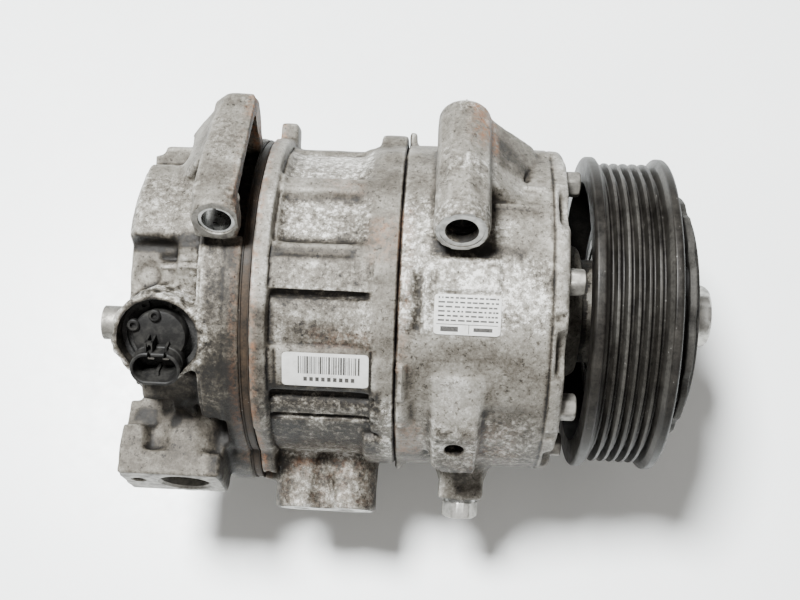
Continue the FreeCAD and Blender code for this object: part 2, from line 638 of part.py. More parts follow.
def shoes(number):
    """The pair of half-ball shoes that ride one on each face of the swash plate."""
    clock = FIRST_BORE + number * STEP
    x = size("plate_x")
    flat = size("plate_half") + size("shoe_gap")
    halves = []
    for low, high in ((x - 12.0, x - flat), (x + flat, x + 12.0)):
        ball = axial("Sphere", x, clock, BORES, Radius=size("shoe_ball"))
        halves.append(common(ball, drum(low, high, 10.0, clock, BORES)))
    return sub_part("shoe_pair_%d" % (number + 1), group(halves))


# ---------------------------------------------------------------- pulley, its bearing and the hub

def pulley():
    """Six V ribs between two rims, a web, and the ring that holds the bearing."""
    count = int(size("ribs"))
    half_root = 0.55
    points = [("Sizes.pulley_rear", "Sizes.rim_inner"),
              ("Sizes.pulley_rear", "Sizes.rim_radius - 1.4"),
              ("Sizes.pulley_rear + 1.6", "Sizes.rim_radius"),
              ("Sizes.pulley_rear + 3.6", "Sizes.rim_radius"),
              ("Sizes.first_groove - Sizes.rib_pitch / 2", "Sizes.ridge_radius")]
    for i in range(count):
        middle = "Sizes.first_groove + %d * Sizes.rib_pitch" % i
        floor = "Sizes.ridge_radius - Sizes.groove_depth"
        points.append((middle + " - %g" % half_root, floor))
        points.append((middle + " + %g" % half_root, floor))
        points.append((middle + " + Sizes.rib_pitch / 2", "Sizes.ridge_radius"))
    points += [("Sizes.pulley_front - 3.4", "Sizes.rim_radius"),
               ("Sizes.pulley_front - 1.4", "Sizes.rim_radius"),
               ("Sizes.pulley_front", "Sizes.rim_radius - 1.4"),
               ("Sizes.pulley_front", "Sizes.rim_inner + 1"),
               ("Sizes.web_front", "Sizes.rim_inner"),
               ("Sizes.web_front", "Sizes.bearing_outer + 6"),
               ("Sizes.bearing_front + 1", "Sizes.bearing_outer + 5"),
               ("Sizes.bearing_front + 1", "Sizes.bearing_outer"),
               ("Sizes.bearing_rear", "Sizes.bearing_outer"),
               ("Sizes.bearing_rear", "Sizes.bearing_outer + 5"),
               ("Sizes.web_rear", "Sizes.bearing_outer + 6"),
               ("Sizes.web_rear", "Sizes.rim_inner")]
    sub_part("pulley", turned(points))


def bearing():
    rear, front = size("bearing_rear"), size("bearing_front")
    circle, ball = size("ball_circle"), size("ball_radius")
    rows = (rear + 5.2, front - 5.2)
    count = int(size("balls"))
    track = ball + 0.05
    inner = cut(ring(rear, front, size("nose_radius"), size("inner_race")),
                *[axial("Torus", row, Radius1=circle, Radius2=track) for row in rows])
    sub_part("bearing_inner_race", inner)
    outer = cut(ring(rear, front, size("outer_race"), size("bearing_outer")),
                *[axial("Torus", row, Radius1=circle, Radius2=track) for row in rows])
    sub_part("bearing_outer_race", outer)
    balls = []
    for number, row in enumerate(rows):
        for i in range(count):
            clock = (i + number / 2) * 360.0 / count
            balls.append(axial("Sphere", row, clock, circle, Radius=ball))
    sub_part("bearing_balls", group(balls))
    sub_part("bearing_snap_ring", cut(ring(front, front + 1.4, size("nose_radius"), 23.2),
                                      brick(0.0, (front - 1, front + 3), (-3.0, 3.0),
                                            (15.0, 25.0))))


def hub():
    """The drive hub: sleeve and stepped plate, rubber dampers behind it, and the nut."""
    rear, front = size("hub_rear"), size("hub_front")
    radius = size("hub_radius")
    plate = fuse(drum(rear, front - 1.6, radius), drum(rear, front, radius - 5.0),
                 drum(99.2, front, 17.0))
    notches = [axial("Cylinder", rear - 1, 30.0 + i * 60.0, radius + 5.0, Radius=8.0, Height=8.0)
               for i in range(6)]
    dish = cut(drum(front - 2.4, front + 1, 34.0), drum(front - 3, front + 2, 19.0))
    windows = [drum(rear - 1, front + 1, 3.4, i * 60.0, 26.0) for i in range(6)]
    sub_part("hub_plate", cut(plate, dish, *notches, *windows, drum(98.0, front + 1, 7.55)))
    lobes = [drum(size("damper_rear"), rear, 6.2, i * 60.0, 38.5) for i in range(6)]
    damper = fuse(ring(size("damper_rear"), rear, 33.5, 40.5), *lobes)
    sub_part("damper_ring", damper)
    nut = cut(chamfered_hexagon(front, size("nut_front"), size("nut_radius"), 12.0),
              drum(front - 1, size("nut_front") - 3.0, 7.55))
    sub_part("hub_nut", nut)


# ---------------------------------------------------------------- labels

def label(name, xs, start, end, radius, thick=0.2):
    film = cut(sector(xs[0], xs[1], radius + thick, start, end),
               drum(xs[0] - 1, xs[1] + 1, radius))
    sub_part(name, film)


cylinder_block()
front_housing()
rear_head()
plates()
through_bolts()
oil_plug()
seam_seal()
lug_sleeve()
control_valve()
relief_valve()
shaft_line()
rotor()
swash_plate()
for index in range(CYLINDERS):
    piston(index)
    shoes(index)
pulley()
bearing()
hub()
label("name_label", (12.5, 35.1), 13.3, 26.0, size("housing_radius"))
label("barcode_label", (-38.9, -9.1), 34.6, 46.4, size("pad_radius"))

doc.recompute()
for thing in doc.Objects:
    if "Invalid" in thing.State or "Error" in thing.State:
        raise RuntimeError("%s (%s) did not compute: %s" % (thing.Label, thing.Name, thing.State))
os.makedirs("parts", exist_ok=True)
for thing in SUB_PARTS:
    if thing.Shape.isNull() or not thing.Shape.isValid():
        raise RuntimeError("%s has no valid shape" % thing.Label)
    thing.Shape.exportStep("parts/%s.step" % thing.Label)
    print("%-22s solids %2d volume %9.0f" % (thing.Label, len(thing.Shape.Solids),
                                             thing.Shape.Volume))
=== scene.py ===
import json
import math

import bmesh
import bpy
import numpy as np
from mathutils import Matrix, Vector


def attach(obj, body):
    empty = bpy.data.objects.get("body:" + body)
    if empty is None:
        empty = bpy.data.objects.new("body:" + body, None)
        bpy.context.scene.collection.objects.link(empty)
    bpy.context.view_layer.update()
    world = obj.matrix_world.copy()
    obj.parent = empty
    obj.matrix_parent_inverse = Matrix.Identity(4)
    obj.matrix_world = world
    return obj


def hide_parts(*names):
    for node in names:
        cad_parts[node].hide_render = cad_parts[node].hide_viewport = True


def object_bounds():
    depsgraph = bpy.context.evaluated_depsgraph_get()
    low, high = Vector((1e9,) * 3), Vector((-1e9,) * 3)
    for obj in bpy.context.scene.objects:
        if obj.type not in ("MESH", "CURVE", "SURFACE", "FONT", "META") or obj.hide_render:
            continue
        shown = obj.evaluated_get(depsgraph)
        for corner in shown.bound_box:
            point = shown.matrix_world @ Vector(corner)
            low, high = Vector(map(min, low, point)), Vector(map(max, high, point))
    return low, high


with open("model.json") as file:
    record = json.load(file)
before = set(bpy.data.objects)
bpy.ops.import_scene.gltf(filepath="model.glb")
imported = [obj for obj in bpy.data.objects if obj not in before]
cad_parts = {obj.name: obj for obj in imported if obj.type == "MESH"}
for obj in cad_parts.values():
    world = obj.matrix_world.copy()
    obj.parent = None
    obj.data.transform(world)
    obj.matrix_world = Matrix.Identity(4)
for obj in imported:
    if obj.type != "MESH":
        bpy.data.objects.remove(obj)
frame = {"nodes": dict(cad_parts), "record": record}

CAD_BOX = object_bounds()
RECORD = frame["record"]
JOINTS = {j["name"]: j for j in RECORD["behaviour"]["joints"]}
MM = 0.001
# The frame is in metres.  Shapes are laid out in millimetres about the shaft: +X towards the
# pulley, X = 0 at the seam between block and front housing.  A clock angle is measured from +Z
# towards -Y, "out" runs along it, and "side" runs across it.
SEAM = np.array(JOINTS["shaft_spin"]["pos_m"])
CYLINDERS = 7
STEP = 360 / CYLINDERS
LUG_CLOCK, PLUG_CLOCK, PORT_CLOCK, SUCTION_CLOCK, VALVE_CLOCK = 67, 107, 93, 85, 32
BOLT_CLOCK, BOLT_CIRCLE, BOLT_SEAT = 6, 52.5, 57.9
PORT_SIDE, SUCTION_X, VALVE_X = -14.8, -76.5, -81.8
# Places on the castings: clock angle, x, and distance to the side.
FRONT_LUG, FRONT_LOW = (LUG_CLOCK, 20.5, 70), (LUG_CLOCK, 20.5, -67.5)
REAR_LUG, REAR_LOW = (LUG_CLOCK, -60.8, 70), (LUG_CLOCK, -60.8, -67.5)
BRACKET, OIL_PLUG = (LUG_CLOCK, 21.7, -1.5), (PLUG_CLOCK, 25.7, 0)
PORT, PORT_BOLT = (PORT_CLOCK, -18.5, PORT_SIDE), (PORT_CLOCK, -35.5, PORT_SIDE)
SUCTION, SUCTION_BOLT = (SUCTION_CLOCK, SUCTION_X, 0), (SUCTION_CLOCK, -93.3, 1.9)
VALVE = (VALVE_CLOCK, VALVE_X, 0)
# How far out their faces lie, and the radii cut in them.
LUG_FACE, LUG_STEP, LOW_FACE, PLUG_FACE = 26.75, 26.45, 21.8, 74.5
PORT_OUT, SUCTION_OUT = 80.3, 75.5
PORT_FACE, SUCTION_FACE = PORT_OUT - 0.25, SUCTION_OUT - 0.25
LUG_BORE, CHAMBER, SHAFT_ROOM, BOLT_ROOM = 5.25, 54, 12.02, 3.4
BEYOND = 95  # a radius outside every casting
HUB_FRONT = 106.2
VOXEL = 0.85
SKIN_WAVES = ((2.6, 3, 0.16), (9, 4, 0.45))  # wavelength, seed and depth of a casting's skin
HOLLOW_STEPS = 14  # smoothing steps that find creases and edges
CAST_SHARP = 38


# ---- places

def clock(angle):
    turn = math.radians(angle)
    return np.array([0.0, -math.sin(turn), math.cos(turn)])


def perp(angle):
    turn = math.radians(angle)
    return np.array([0.0, math.cos(turn), math.sin(turn)])


def spot(angle, x, side=0, out=0):
    return np.array([x, 0.0, 0.0]) + side * perp(angle) + out * clock(angle)


def to_axis(points):
    """The frame's metres to millimetres about the shaft."""
    return (np.asarray(points) - SEAM) / MM


def to_frame(points):
    return np.asarray(points) * MM + SEAM


AX = np.array([1.0, 0.0, 0.0])


# ---- closed shapes, in millimetres

def loft(rings):
    """A closed solid through rings that have the same number of points."""
    count = len(rings[0])
    last = (len(rings) - 1) * count
    faces = [list(range(count))[::-1], list(range(last, last + count))]
    for start in range(0, last, count):
        for i in range(count):
            j = (i + 1) % count
            faces.append([start + i, start + j, start + count + j, start + count + i])
    return np.vstack(rings), faces


def around(count):
    """Equal steps round a full turn, in radians."""
    return np.linspace(0, 2 * math.pi, count, endpoint=False)


def frame_of(axis):
    axis = np.asarray(axis, float) / np.linalg.norm(axis)
    first = np.cross(axis, AX) if abs(axis[0]) < 0.9 else np.cross(axis, [0, 1, 0])
    first /= np.linalg.norm(first)
    return first, np.cross(axis, first), axis


def stack(base, axis, rings, count):
    """Rings of (height, radius) stacked on an axis and closed at both ends."""
    u, v, w = frame_of(axis)
    circle = np.outer(np.cos(around(count)), u) + np.outer(np.sin(around(count)), v)
    return loft([base + height * w + radius * circle for height, radius in rings])


def drum(x0, x1, radius, angle=0, off=0, count=96):
    return stack(spot(angle, x0, 0, off), AX, [(0, radius), (x1 - x0, radius)], count)


def post(angle, x, side, out, rings, count=48):
    """Rings of (height, radius) stacked along a clock direction."""
    return stack(spot(angle, x, side, out), clock(angle), rings, count)


def rod(angle, x, side, outs, radius, count=48, top=None):
    """A cylinder along a clock direction, or a cone if it has its own top radius."""
    end = radius if top is None else top
    return post(angle, x, side, outs[0], [(0, radius), (outs[1] - outs[0], end)], count)


def slab(angle, corners, outs):
    """A polygon of (x, side) corners raised between two distances out."""
    bottom = np.array([spot(angle, x, s, outs[0]) for x, s in corners])
    return loft([bottom, bottom + clock(angle) * (outs[1] - outs[0])])


def corners_of(xs, sides):
    return [(xs[0], sides[0]), (xs[1], sides[0]), (xs[1], sides[1]), (xs[0], sides[1])]


def brick(angle, xs, sides, outs):
    return slab(angle, corners_of(xs, sides), outs)


def shell(x0, x1, r0, r1, start, end, steps=24):
    """Part of a thick ring about the shaft, between two clock angles."""
    turns = np.linspace(start, end, steps)
    ring = [spot(t, x0, 0, r0) for t in turns] + [spot(t, x0, 0, r1) for t in turns[::-1]]
    return loft([np.array(ring), np.array(ring) + AX * (x1 - x0)])


def lathe(profile, count=256):
    """A ring turned about the shaft from a closed outline of (x, radius) points."""
    rows = len(profile)
    points = np.array([[x, -r * math.sin(t), r * math.cos(t)]
                       for t in around(count) for x, r in profile])
    faces = []
    for i in range(count):
        j = (i + 1) % count
        for k in range(rows):
            m = (k + 1) % rows
            faces.append([i * rows + k, i * rows + m, j * rows + m, j * rows + k])
    return points, faces


# ---- objects

def link(name, mesh):
    thing = bpy.data.objects.new(name, mesh)
    bpy.context.scene.collection.objects.link(thing)
    return thing


def mesh_of(name, parts, start=None):
    """A mesh in the frame's metres from closed shapes, added to a copy of another if given."""
    bm = bmesh.new()
    if start is not None:
        bm.from_mesh(start)
        bmesh.ops.remove_doubles(bm, verts=bm.verts, dist=1e-6)
    for points, faces in parts:
        made = [bm.verts.new(p) for p in to_frame(points)]
        for face in faces:
            bm.faces.new([made[i] for i in face])
    bmesh.ops.recalc_face_normals(bm, faces=bm.faces)
    mesh = bpy.data.meshes.new(name)
    bm.to_mesh(mesh)
    bm.free()
    return mesh


def baked(thing):
    """Apply the object's modifiers to its mesh."""
    graph = bpy.context.evaluated_depsgraph_get()
    graph.update()
    made = bpy.data.meshes.new_from_object(thing.evaluated_get(graph))
    thing.modifiers.clear()
    thing.data = made


def read(items, field, width=3, kind=np.float32):
    """One field of every vertex, edge or face as a table."""
    flat = np.empty(len(items) * width, kind)
    items.foreach_get(field, flat)
    return flat.reshape(-1, width)


def coordinates(mesh):
    """The vertices in millimetres about the shaft."""
    return to_axis(read(mesh.vertices, "co").astype(float))


def set_coordinates(mesh, points):
    mesh.vertices.foreach_set("co", to_frame(points).astype(np.float32).ravel())
    mesh.update()


def normals(mesh):
    return read(mesh.vertices, "normal").astype(float)


def edges_of(mesh):
    return read(mesh.edges, "vertices", 2, np.int32)


def smoothed(points, edges, times):
    """Laplacian smoothing, which rounds a casting's edges."""
    count = len(points)
    degree = np.bincount(edges.ravel(), minlength=count).astype(float)[:, None]
    for _ in range(times):
        total = np.empty_like(points)
        for k in range(3):
            total[:, k] = (np.bincount(edges[:, 0], points[edges[:, 1], k], count)
                           + np.bincount(edges[:, 1], points[edges[:, 0], k], count))
        points = points + 0.5 * (total / np.maximum(degree, 1) - points)
    return points


def remeshed(thing):
    step = thing.modifiers.new("Remesh", "REMESH")
    step.mode = "VOXEL"
    step.voxel_size = VOXEL * MM
    baked(thing)


def carved(thing, cutters):
    """Cut closed shapes out of an object."""
    helpers = []
    for index, cutter in enumerate(cutters):
        helper = link("cutter_%d" % index, mesh_of("cutter", [cutter]))
        step = thing.modifiers.new("Cut", "BOOLEAN")
        step.operation = "DIFFERENCE"
        step.solver = "MANIFOLD"
        step.object = helper
        helpers.append(helper)
    baked(thing)
    for helper in helpers:
        old = helper.data
        bpy.data.objects.remove(helper)
        bpy.data.meshes.remove(old)


# ---- noise, the same on every run

def lattice(points, seed):
    p = points.astype(np.int64)
    h = (p[:, 0] * 374761393 + p[:, 1] * 668265263 + p[:, 2] * 2147483647 + seed * 974711)
    h = (h ^ (h >> 13)) * 1274126177
    h = h ^ (h >> 16)
    return (h & 0xFFFFFF) / float(0xFFFFFF)


def noise(points, wavelength, seed=0):
    """Smooth value noise from 0 to 1."""
    q = points / wavelength
    base = np.floor(q)
    f = q - base
    f = f * f * (3 - 2 * f)
    total = np.zeros(len(points))
    for dx in (0, 1):
        for dy in (0, 1):
            for dz in (0, 1):
                weight = (np.abs(1 - dx - f[:, 0]) * np.abs(1 - dy - f[:, 1])
                          * np.abs(1 - dz - f[:, 2]))
                total += weight * lattice(base + [dx, dy, dz], seed)
    return total


def ramp(values, low, high):
    t = np.clip((values - low) / (high - low), 0, 1)
    return t * t * (3 - 2 * t)


def window(values, low, high, soft):
    """1 between low and high, falling to 0 over a soft edge on both sides."""
    return ramp(values, low - soft, low + soft) * (1 - ramp(values, high - soft, high + soft))


# ---- materials

class Nodes:
    """Short calls for building a node material."""

    def __init__(self, name):
        self.material = bpy.data.materials.new(name)
        self.material.use_nodes = True
        self.tree = self.material.node_tree
        self.tree.nodes.clear()
        output = self.add("OutputMaterial", {})
        self.shader = self.add("BsdfPrincipled", {})
        self.feed(output.inputs[0], self.shader.outputs[0])
        metres = self.add("TexCoord", {}).outputs["Object"]
        self.place = self.add("VectorMath", {0: metres, "Scale": 1 / MM},
                              operation="SCALE").outputs[0]

    def feed(self, socket, value):
        if isinstance(value, bpy.types.NodeSocket):
            self.tree.links.new(value, socket)
        else:
            socket.default_value = value

    def add(self, kind, sockets, **settings):
        """A node with its settings made and then its sockets fed."""
        node = self.tree.nodes.new("ShaderNode" + kind)
        for name, value in settings.items():
            setattr(node, name, value)
        for key, value in sockets.items():
            self.feed(node.inputs[key], value)
        return node

    def noise(self, per_mm, detail=3, rough=0.6, place=None):
        return self.add("TexNoise", {"Vector": place or self.place, "Scale": per_mm,
                                     "Detail": detail, "Roughness": rough}).outputs[0]

    def cells(self, per_mm):
        return self.add("TexVoronoi", {"Vector": self.place, "Scale": per_mm}).outputs[0]

    def enlarged(self, times):
        return self.add("Mapping", {"Vector": self.place, "Scale": (times,) * 3}).outputs[0]

    def attribute(self, name):
        return self.add("Attribute", {}, attribute_name=name).outputs["Fac"]

    def maths(self, operation, first, second, third=0, clamp=False):
        return self.add("Math", {0: first, 1: second, 2: third}, operation=operation,
                        use_clamp=clamp).outputs[0]

    def plus(self, first, second):
        return self.maths("ADD", first, second)

    def minus(self, first, second, clamp=False):
        return self.maths("SUBTRACT", first, second, clamp=clamp)

    def times(self, first, second, clamp=False):
        return self.maths("MULTIPLY", first, second, clamp=clamp)

    def span(self, value, low, high, to_low=0, to_high=1):
        """Map low..high to to_low..to_high, clamped."""
        sockets = dict(enumerate((value, low, high, to_low, to_high)))
        return self.add("MapRange", sockets).outputs[0]

    def gradient(self, value, stops):
        node = self.add("ValToRGB", {0: value})
        band = node.color_ramp
        band.elements[0].position, band.elements[0].color = stops[0][0], (*stops[0][1], 1)
        band.elements[1].position, band.elements[1].color = stops[-1][0], (*stops[-1][1], 1)
        for position, colour in stops[1:-1]:
            band.elements.new(position).color = (*colour, 1)
        return node.outputs[0]

    def colour(self, value):
        return value if isinstance(value, bpy.types.NodeSocket) else (*value, 1)

    def blend(self, share, first, second, kind="MIX"):
        sockets = {0: share, 6: self.colour(first), 7: self.colour(second)}
        return self.add("Mix", sockets, data_type="RGBA", blend_type=kind).outputs[2]

    def bump(self, height, strength, distance_mm, below=None):
        sockets = {"Strength": strength, "Distance": distance_mm * MM, "Height": height}
        if below is not None:
            sockets["Normal"] = below
        return self.add("Bump", sockets).outputs[0]

    def done(self, colour, rough, metallic, normal, **fixed):
        self.feed(self.shader.inputs["Base Color"], self.colour(colour))
        self.feed(self.shader.inputs["Roughness"], rough)
        self.feed(self.shader.inputs["Metallic"], metallic)
        self.feed(self.shader.inputs["Normal"], normal)
        for name, value in fixed.items():
            self.shader.inputs[name.replace("_", " ")].default_value = value
        return self.material


def cast_aluminium():
    """Cast aluminium: warm grey skin, crusty white oxide, dirt and painted shade, and a little
    rust.
    """
    n = Nodes("cast_aluminium")
    dirt_and_shade, rust = n.attribute("dirt_and_shade"), n.attribute("rust")
    pale, speck = n.attribute("pale"), n.attribute("speck")
    patches = n.noise(0.075, 9, 0.68)
    drift = n.noise(0.022, 3, 0.55)
    grain = n.noise(1, 5, 0.75)
    crust = n.noise(0.46, 9, 0.80)
    pits = n.cells(0.62)
    # Lighter by the pale mask, which on convex edges is partly a painted highlight.
    tone = n.maths("MULTIPLY_ADD", pale, 0.26, 0.44)
    tone = n.plus(tone, n.span(patches, 0.35, 0.65, -0.13, 0.13))
    tone = n.plus(tone, n.span(drift, 0.35, 0.65, -0.06, 0.06))
    tone = n.plus(tone, n.span(grain, 0.35, 0.65, -0.085, 0.085))
    white = n.times(n.span(crust, 0.515, 0.560), speck)
    tone = n.plus(tone, n.times(white, 0.32))
    black = n.times(n.span(crust, 0.445, 0.405), n.maths("MULTIPLY_ADD", speck, 0.65, 0.16))
    tone = n.minus(tone, n.times(black, 0.34))
    dots = n.span(n.noise(0.62, 5, 0.74), 0.585, 0.615)
    tone = n.minus(tone, n.times(dots, 0.26))
    smear = n.span(n.noise(0.16, 7, 0.72), 0.34, 0.60, 0.45, 1.15)
    # Darker by the dirt and shade mask: dirt, and painted shade in creases, holes and under
    # ledges.
    tone = n.minus(tone, n.times(n.times(dirt_and_shade, smear), 0.58))
    pit = n.times(n.span(pits, 0.09, 0.16, 1, 0), n.span(patches, 0.50, 0.62))
    tone = n.minus(tone, n.times(pit, 0.30), clamp=True)
    colour = n.gradient(tone, [(0, (0.0060, 0.0048, 0.0036)), (0.18, (0.020, 0.0165, 0.012)),
                               (0.36, (0.060, 0.052, 0.041)), (0.52, (0.122, 0.112, 0.094)),
                               (0.70, (0.215, 0.204, 0.180)), (1, (0.58, 0.57, 0.545))])
    stain = n.times(rust, n.span(n.noise(0.5, 6, 0.75), 0.44, 0.62), clamp=True)
    colour = n.blend(stain, colour, (0.175, 0.080, 0.038))
    fine = n.bump(grain, 0.55, 0.14)
    skin = n.bump(n.plus(crust, n.times(pit, -1)), 0.80, 0.42, fine)
    rough = n.span(grain, 0.3, 0.7, 0.46, 0.72)
    return n.done(colour, rough, 0.30, skin, IOR=1.45)


def bright_metal(name, colour, rough, per_mm, wear, metallic=1):
    """Machined or plated metal with fine lines and small stains."""
    n = Nodes(name)
    lines = n.noise(1, 3, 0.6, n.enlarged(per_mm))
    stain = n.noise(0.35, 5, 0.65)
    shade = n.span(stain, 0.40, 0.68, 1, 1 - wear)
    tint = n.blend(1, colour, n.gradient(shade, [(0, (0.05, 0.05, 0.045)),
                                                 (1, (1, 1, 1))]), "MULTIPLY")
    normal = n.bump(lines, 0.35, 0.05)
    roughness = n.plus(n.span(lines, 0.3, 0.7, rough - 0.06, rough + 0.06),
                       n.span(stain, 0.45, 0.7, 0, 0.18))
    return n.done(tint, roughness, metallic, normal)


def dark_coating(name, low, high, rough, worn=0.5, metallic=0.35):
    """Black coated metal, rubbed through to steel where the worn attribute is high."""
    n = Nodes(name)
    grit = n.noise(1.3, 4, 0.7)
    dust = n.noise(0.16, 5, 0.7)
    tone = n.plus(n.span(grit, 0.3, 0.72, -0.18, 0.35), n.span(dust, 0.35, 0.68, 0, 0.6))
    colour = n.gradient(tone, [(0, low), (0.55, tuple((a + b) / 2 for a, b in zip(low, high))),
                               (1, high)])
    bare = n.times(n.attribute("worn"), n.span(n.noise(0.8, 3), 0.30, 0.62, 0.35, 1))
    bare = n.times(bare, worn, clamp=True)
    colour = n.blend(bare, colour, (0.115, 0.110, 0.100))
    specks = n.span(n.cells(0.42), 0.06, 0.11, 1, 0)
    specks = n.times(specks, n.span(dust, 0.5, 0.6))
    colour = n.blend(n.times(specks, 0.45), colour, (0.26, 0.25, 0.235))
    normal = n.bump(grit, 0.45, 0.10)
    roughness = n.span(dust, 0.3, 0.7, rough - 0.08, rough + 0.14)
    return n.done(colour, roughness, n.maths("MAXIMUM", metallic, bare), normal,
                  Specular_IOR_Level=0.22)


def plastic(name, colour, rough):
    n = Nodes(name)
    dust = n.noise(0.22, 5, 0.7)
    fine = n.noise(2.2, 3, 0.6)
    shade = n.blend(n.span(dust, 0.46, 0.72, 0, 0.30), colour, (0.06, 0.057, 0.05))
    return n.done(shade, n.span(dust, 0.3, 0.7, rough - 0.05, rough + 0.2), 0,
                  n.bump(n.plus(fine, dust), 0.5, 0.12), Specular_IOR_Level=0.22)


def film(name):
    """A label's satin film, slightly yellowed and soiled."""
    n = Nodes(name)
    soil = n.noise(0.30, 5, 0.7)
    colour = n.gradient(n.span(soil, 0.3, 0.78), [(0, (0.52, 0.52, 0.505)),
                                                  (0.6, (0.44, 0.435, 0.42)),
                                                  (1, (0.22, 0.21, 0.19))])
    return n.done(colour, 0.42, 0, n.bump(n.noise(0.8), 0.15, 0.03))


def ink(name):
    n = Nodes(name)
    worn = n.noise(1.6, 4, 0.7)
    colour = n.gradient(worn, [(0.35, (0.012, 0.011, 0.010)), (0.75, (0.07, 0.066, 0.06))])
    return n.done(colour, 0.55, 0, n.bump(worn, 0.1, 0.01))


def rubber(name):
    n = Nodes(name)
    dust = n.noise(0.3, 5, 0.7)
    colour = n.gradient(dust, [(0.3, (0.004, 0.004, 0.004)), (0.8, (0.022, 0.021, 0.019))])
    return n.done(colour, 0.75, 0, n.bump(n.noise(1.5), 0.4, 0.08))


CAST = cast_aluminium()
MACHINED = bright_metal("machined_aluminium", (0.42, 0.415, 0.40), 0.36, 3, 0.40)
STEEL = bright_metal("ground_steel", (0.36, 0.36, 0.35), 0.28, 2, 0.3)
ZINC = bright_metal("zinc_plate", (0.40, 0.39, 0.365), 0.38, 1.2, 0.5, 0.85)
DULL = bright_metal("dull_plate", (0.20, 0.19, 0.17), 0.50, 1.2, 0.6, 0.6)
IRON = dark_coating("cast_iron", (0.012, 0.012, 0.012), (0.06, 0.058, 0.055), 0.5)
PLATE_EDGE = dark_coating("plate_edge", (0.010, 0.008, 0.006), (0.055, 0.036, 0.022),
                          0.6, 0, 0.3)
PULLEY_COAT = dark_coating("pulley_coating", (0.0035, 0.003, 0.0026), (0.030, 0.027, 0.023),
                           0.42, 0.8)
HUB_COAT = dark_coating("hub_coating", (0.009, 0.0085, 0.008), (0.080, 0.076, 0.068), 0.62, 0.5)
GASKET = dark_coating("gasket_coating", (0.004, 0.0035, 0.003), (0.040, 0.028, 0.018),
                      0.7, 0, 0.1)
BLACK_PLASTIC = plastic("black_plastic", (0.0048, 0.0045, 0.0042), 0.52)
FILM = film("label_film")
INK = ink("label_ink")
RUBBER = rubber("rubber")
SLOT_LOOK = {"cast_aluminium": CAST, "piston_aluminium": MACHINED, "bearing_steel": STEEL,
             "cast_iron": IRON, "gasket": GASKET, "rubber": RUBBER, "zinc_steel": ZINC,
             "washer_metal": STEEL, "valve_metal": MACHINED, "black_plastic": BLACK_PLASTIC,
             "tin_plate": ZINC, "pulley_steel": PULLEY_COAT, "hub_metal": HUB_COAT,
             "label_film": FILM}
SLOT_OF = {s["node"]: s["material_slot"] for s in RECORD["subparts"]}
DIRTY_PLATES = ("valve_plate", "suction_reed_plate", "discharge_reed_plate")
for node, thing in frame["nodes"].items():
    look = SLOT_LOOK[SLOT_OF[node]]
    if node in DIRTY_PLATES:
        look = PLATE_EDGE
    elif node == "relief_valve":
        look = DULL
    elif node in ("control_valve_body", "valve_snap_ring"):
        look = IRON
    for place in thing.material_slots:
        place.material = look
    if not thing.material_slots:
        thing.data.materials.append(look)


# ---- finishing a piece

def coat(thing, *looks):
    thing.data.materials.clear()
    for look in looks:
        thing.data.materials.append(look)


def finish_mesh(thing, sharp):
    """Smooth shading, with edges steeper than an angle in degrees kept sharp."""
    thing.data.shade_smooth()
    thing.data.set_sharp_from_angle(angle=math.radians(sharp))


def finished(thing, look, body, nodes, sharp=30):
    """Coat and smooth-shade a piece, attach it to the body it rides on, and hide the CAD nodes it
    stands for.
    """
    coat(thing, look)
    finish_mesh(thing, sharp)
    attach(thing, body)
    if nodes:
        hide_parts(*nodes)


def paint(mesh, **masks):
    """Store 0-to-1 masks on the vertices for the materials to read."""
    for name, values in masks.items():
        layer = mesh.attributes.new(name, "FLOAT", "POINT")
        layer.data.foreach_set("value", np.clip(values, 0, 1).astype(np.float32))


def face_centres(mesh):
    return (to_axis(read(mesh.polygons, "center")),
            read(mesh.polygons, "normal").astype(float))


def clock_of(points):
    return np.degrees(np.arctan2(-points[:, 1], points[:, 2]))


def about(points, angle, x, side):
    """Angle about the axis of a place, distance from it, and distance along it."""
    ahead, across = points[:, 0] - x, points @ perp(angle) - side
    return np.degrees(np.arctan2(ahead, -across)), np.hypot(ahead, across), points @ clock(angle)


def hold_in_box(points):
    """Nothing stands outside the CAD model's box."""
    low, high = to_axis(CAD_BOX[0]), to_axis(CAD_BOX[1])
    return np.clip(points, low + 0.02, high - 0.02)


def casting(name, node, fills, adds, carve, cuts, rounding, relief, masks):
    """A rough casting with crisp machined openings.

    The CAD solid is filled, given its extra lumps and hollows and remeshed, its edges are rounded
    and its skin is shaped, and then the bores, chambers and machined faces are cut.
    """
    thing = link(name, mesh_of(name, fills + adds, frame["nodes"][node].data))
    remeshed(thing)
    carved(thing, carve)
    remeshed(thing)
    mesh = thing.data
    points = smoothed(coordinates(mesh), edges_of(mesh), rounding)
    set_coordinates(mesh, points)
    normal = normals(mesh)
    points = points + normal * relief(points, normal)[:, None]
    rough = sum((noise(points, wavelength, seed) - 0.5) * depth
                for wavelength, seed, depth in SKIN_WAVES)
    set_coordinates(mesh, hold_in_box(points + normal * rough[:, None]))
    carved(thing, cuts)
    points, normal = coordinates(thing.data), normals(thing.data)
    rounder = smoothed(points, edges_of(thing.data), HOLLOW_STEPS)
    paint(thing.data, **masks(points, normal, ((rounder - points) * normal).sum(1)))
    finish_mesh(thing, CAST_SHARP)
    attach(thing, "housing")
    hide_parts(node)
    return thing


# ---- cylinder block

def skin_of(points, normal, inner, outer):
    """Where the skin faces away from the shaft, between two radii."""
    radius = np.hypot(points[:, 1], points[:, 2])
    outward = (normal[:, 1] * points[:, 1] + normal[:, 2] * points[:, 2]) / np.maximum(radius, 1)
    return ramp(outward, 0.55, 0.85) * window(radius, inner, outer, 0.4)


def tile(angle, corners, sides):
    """A polygon of (x, out) corners raised between two side distances."""
    bottom = np.array([spot(angle, x, sides[0], out) for x, out in corners])
    return loft([bottom, bottom + perp(angle) * (sides[1] - sides[0])])


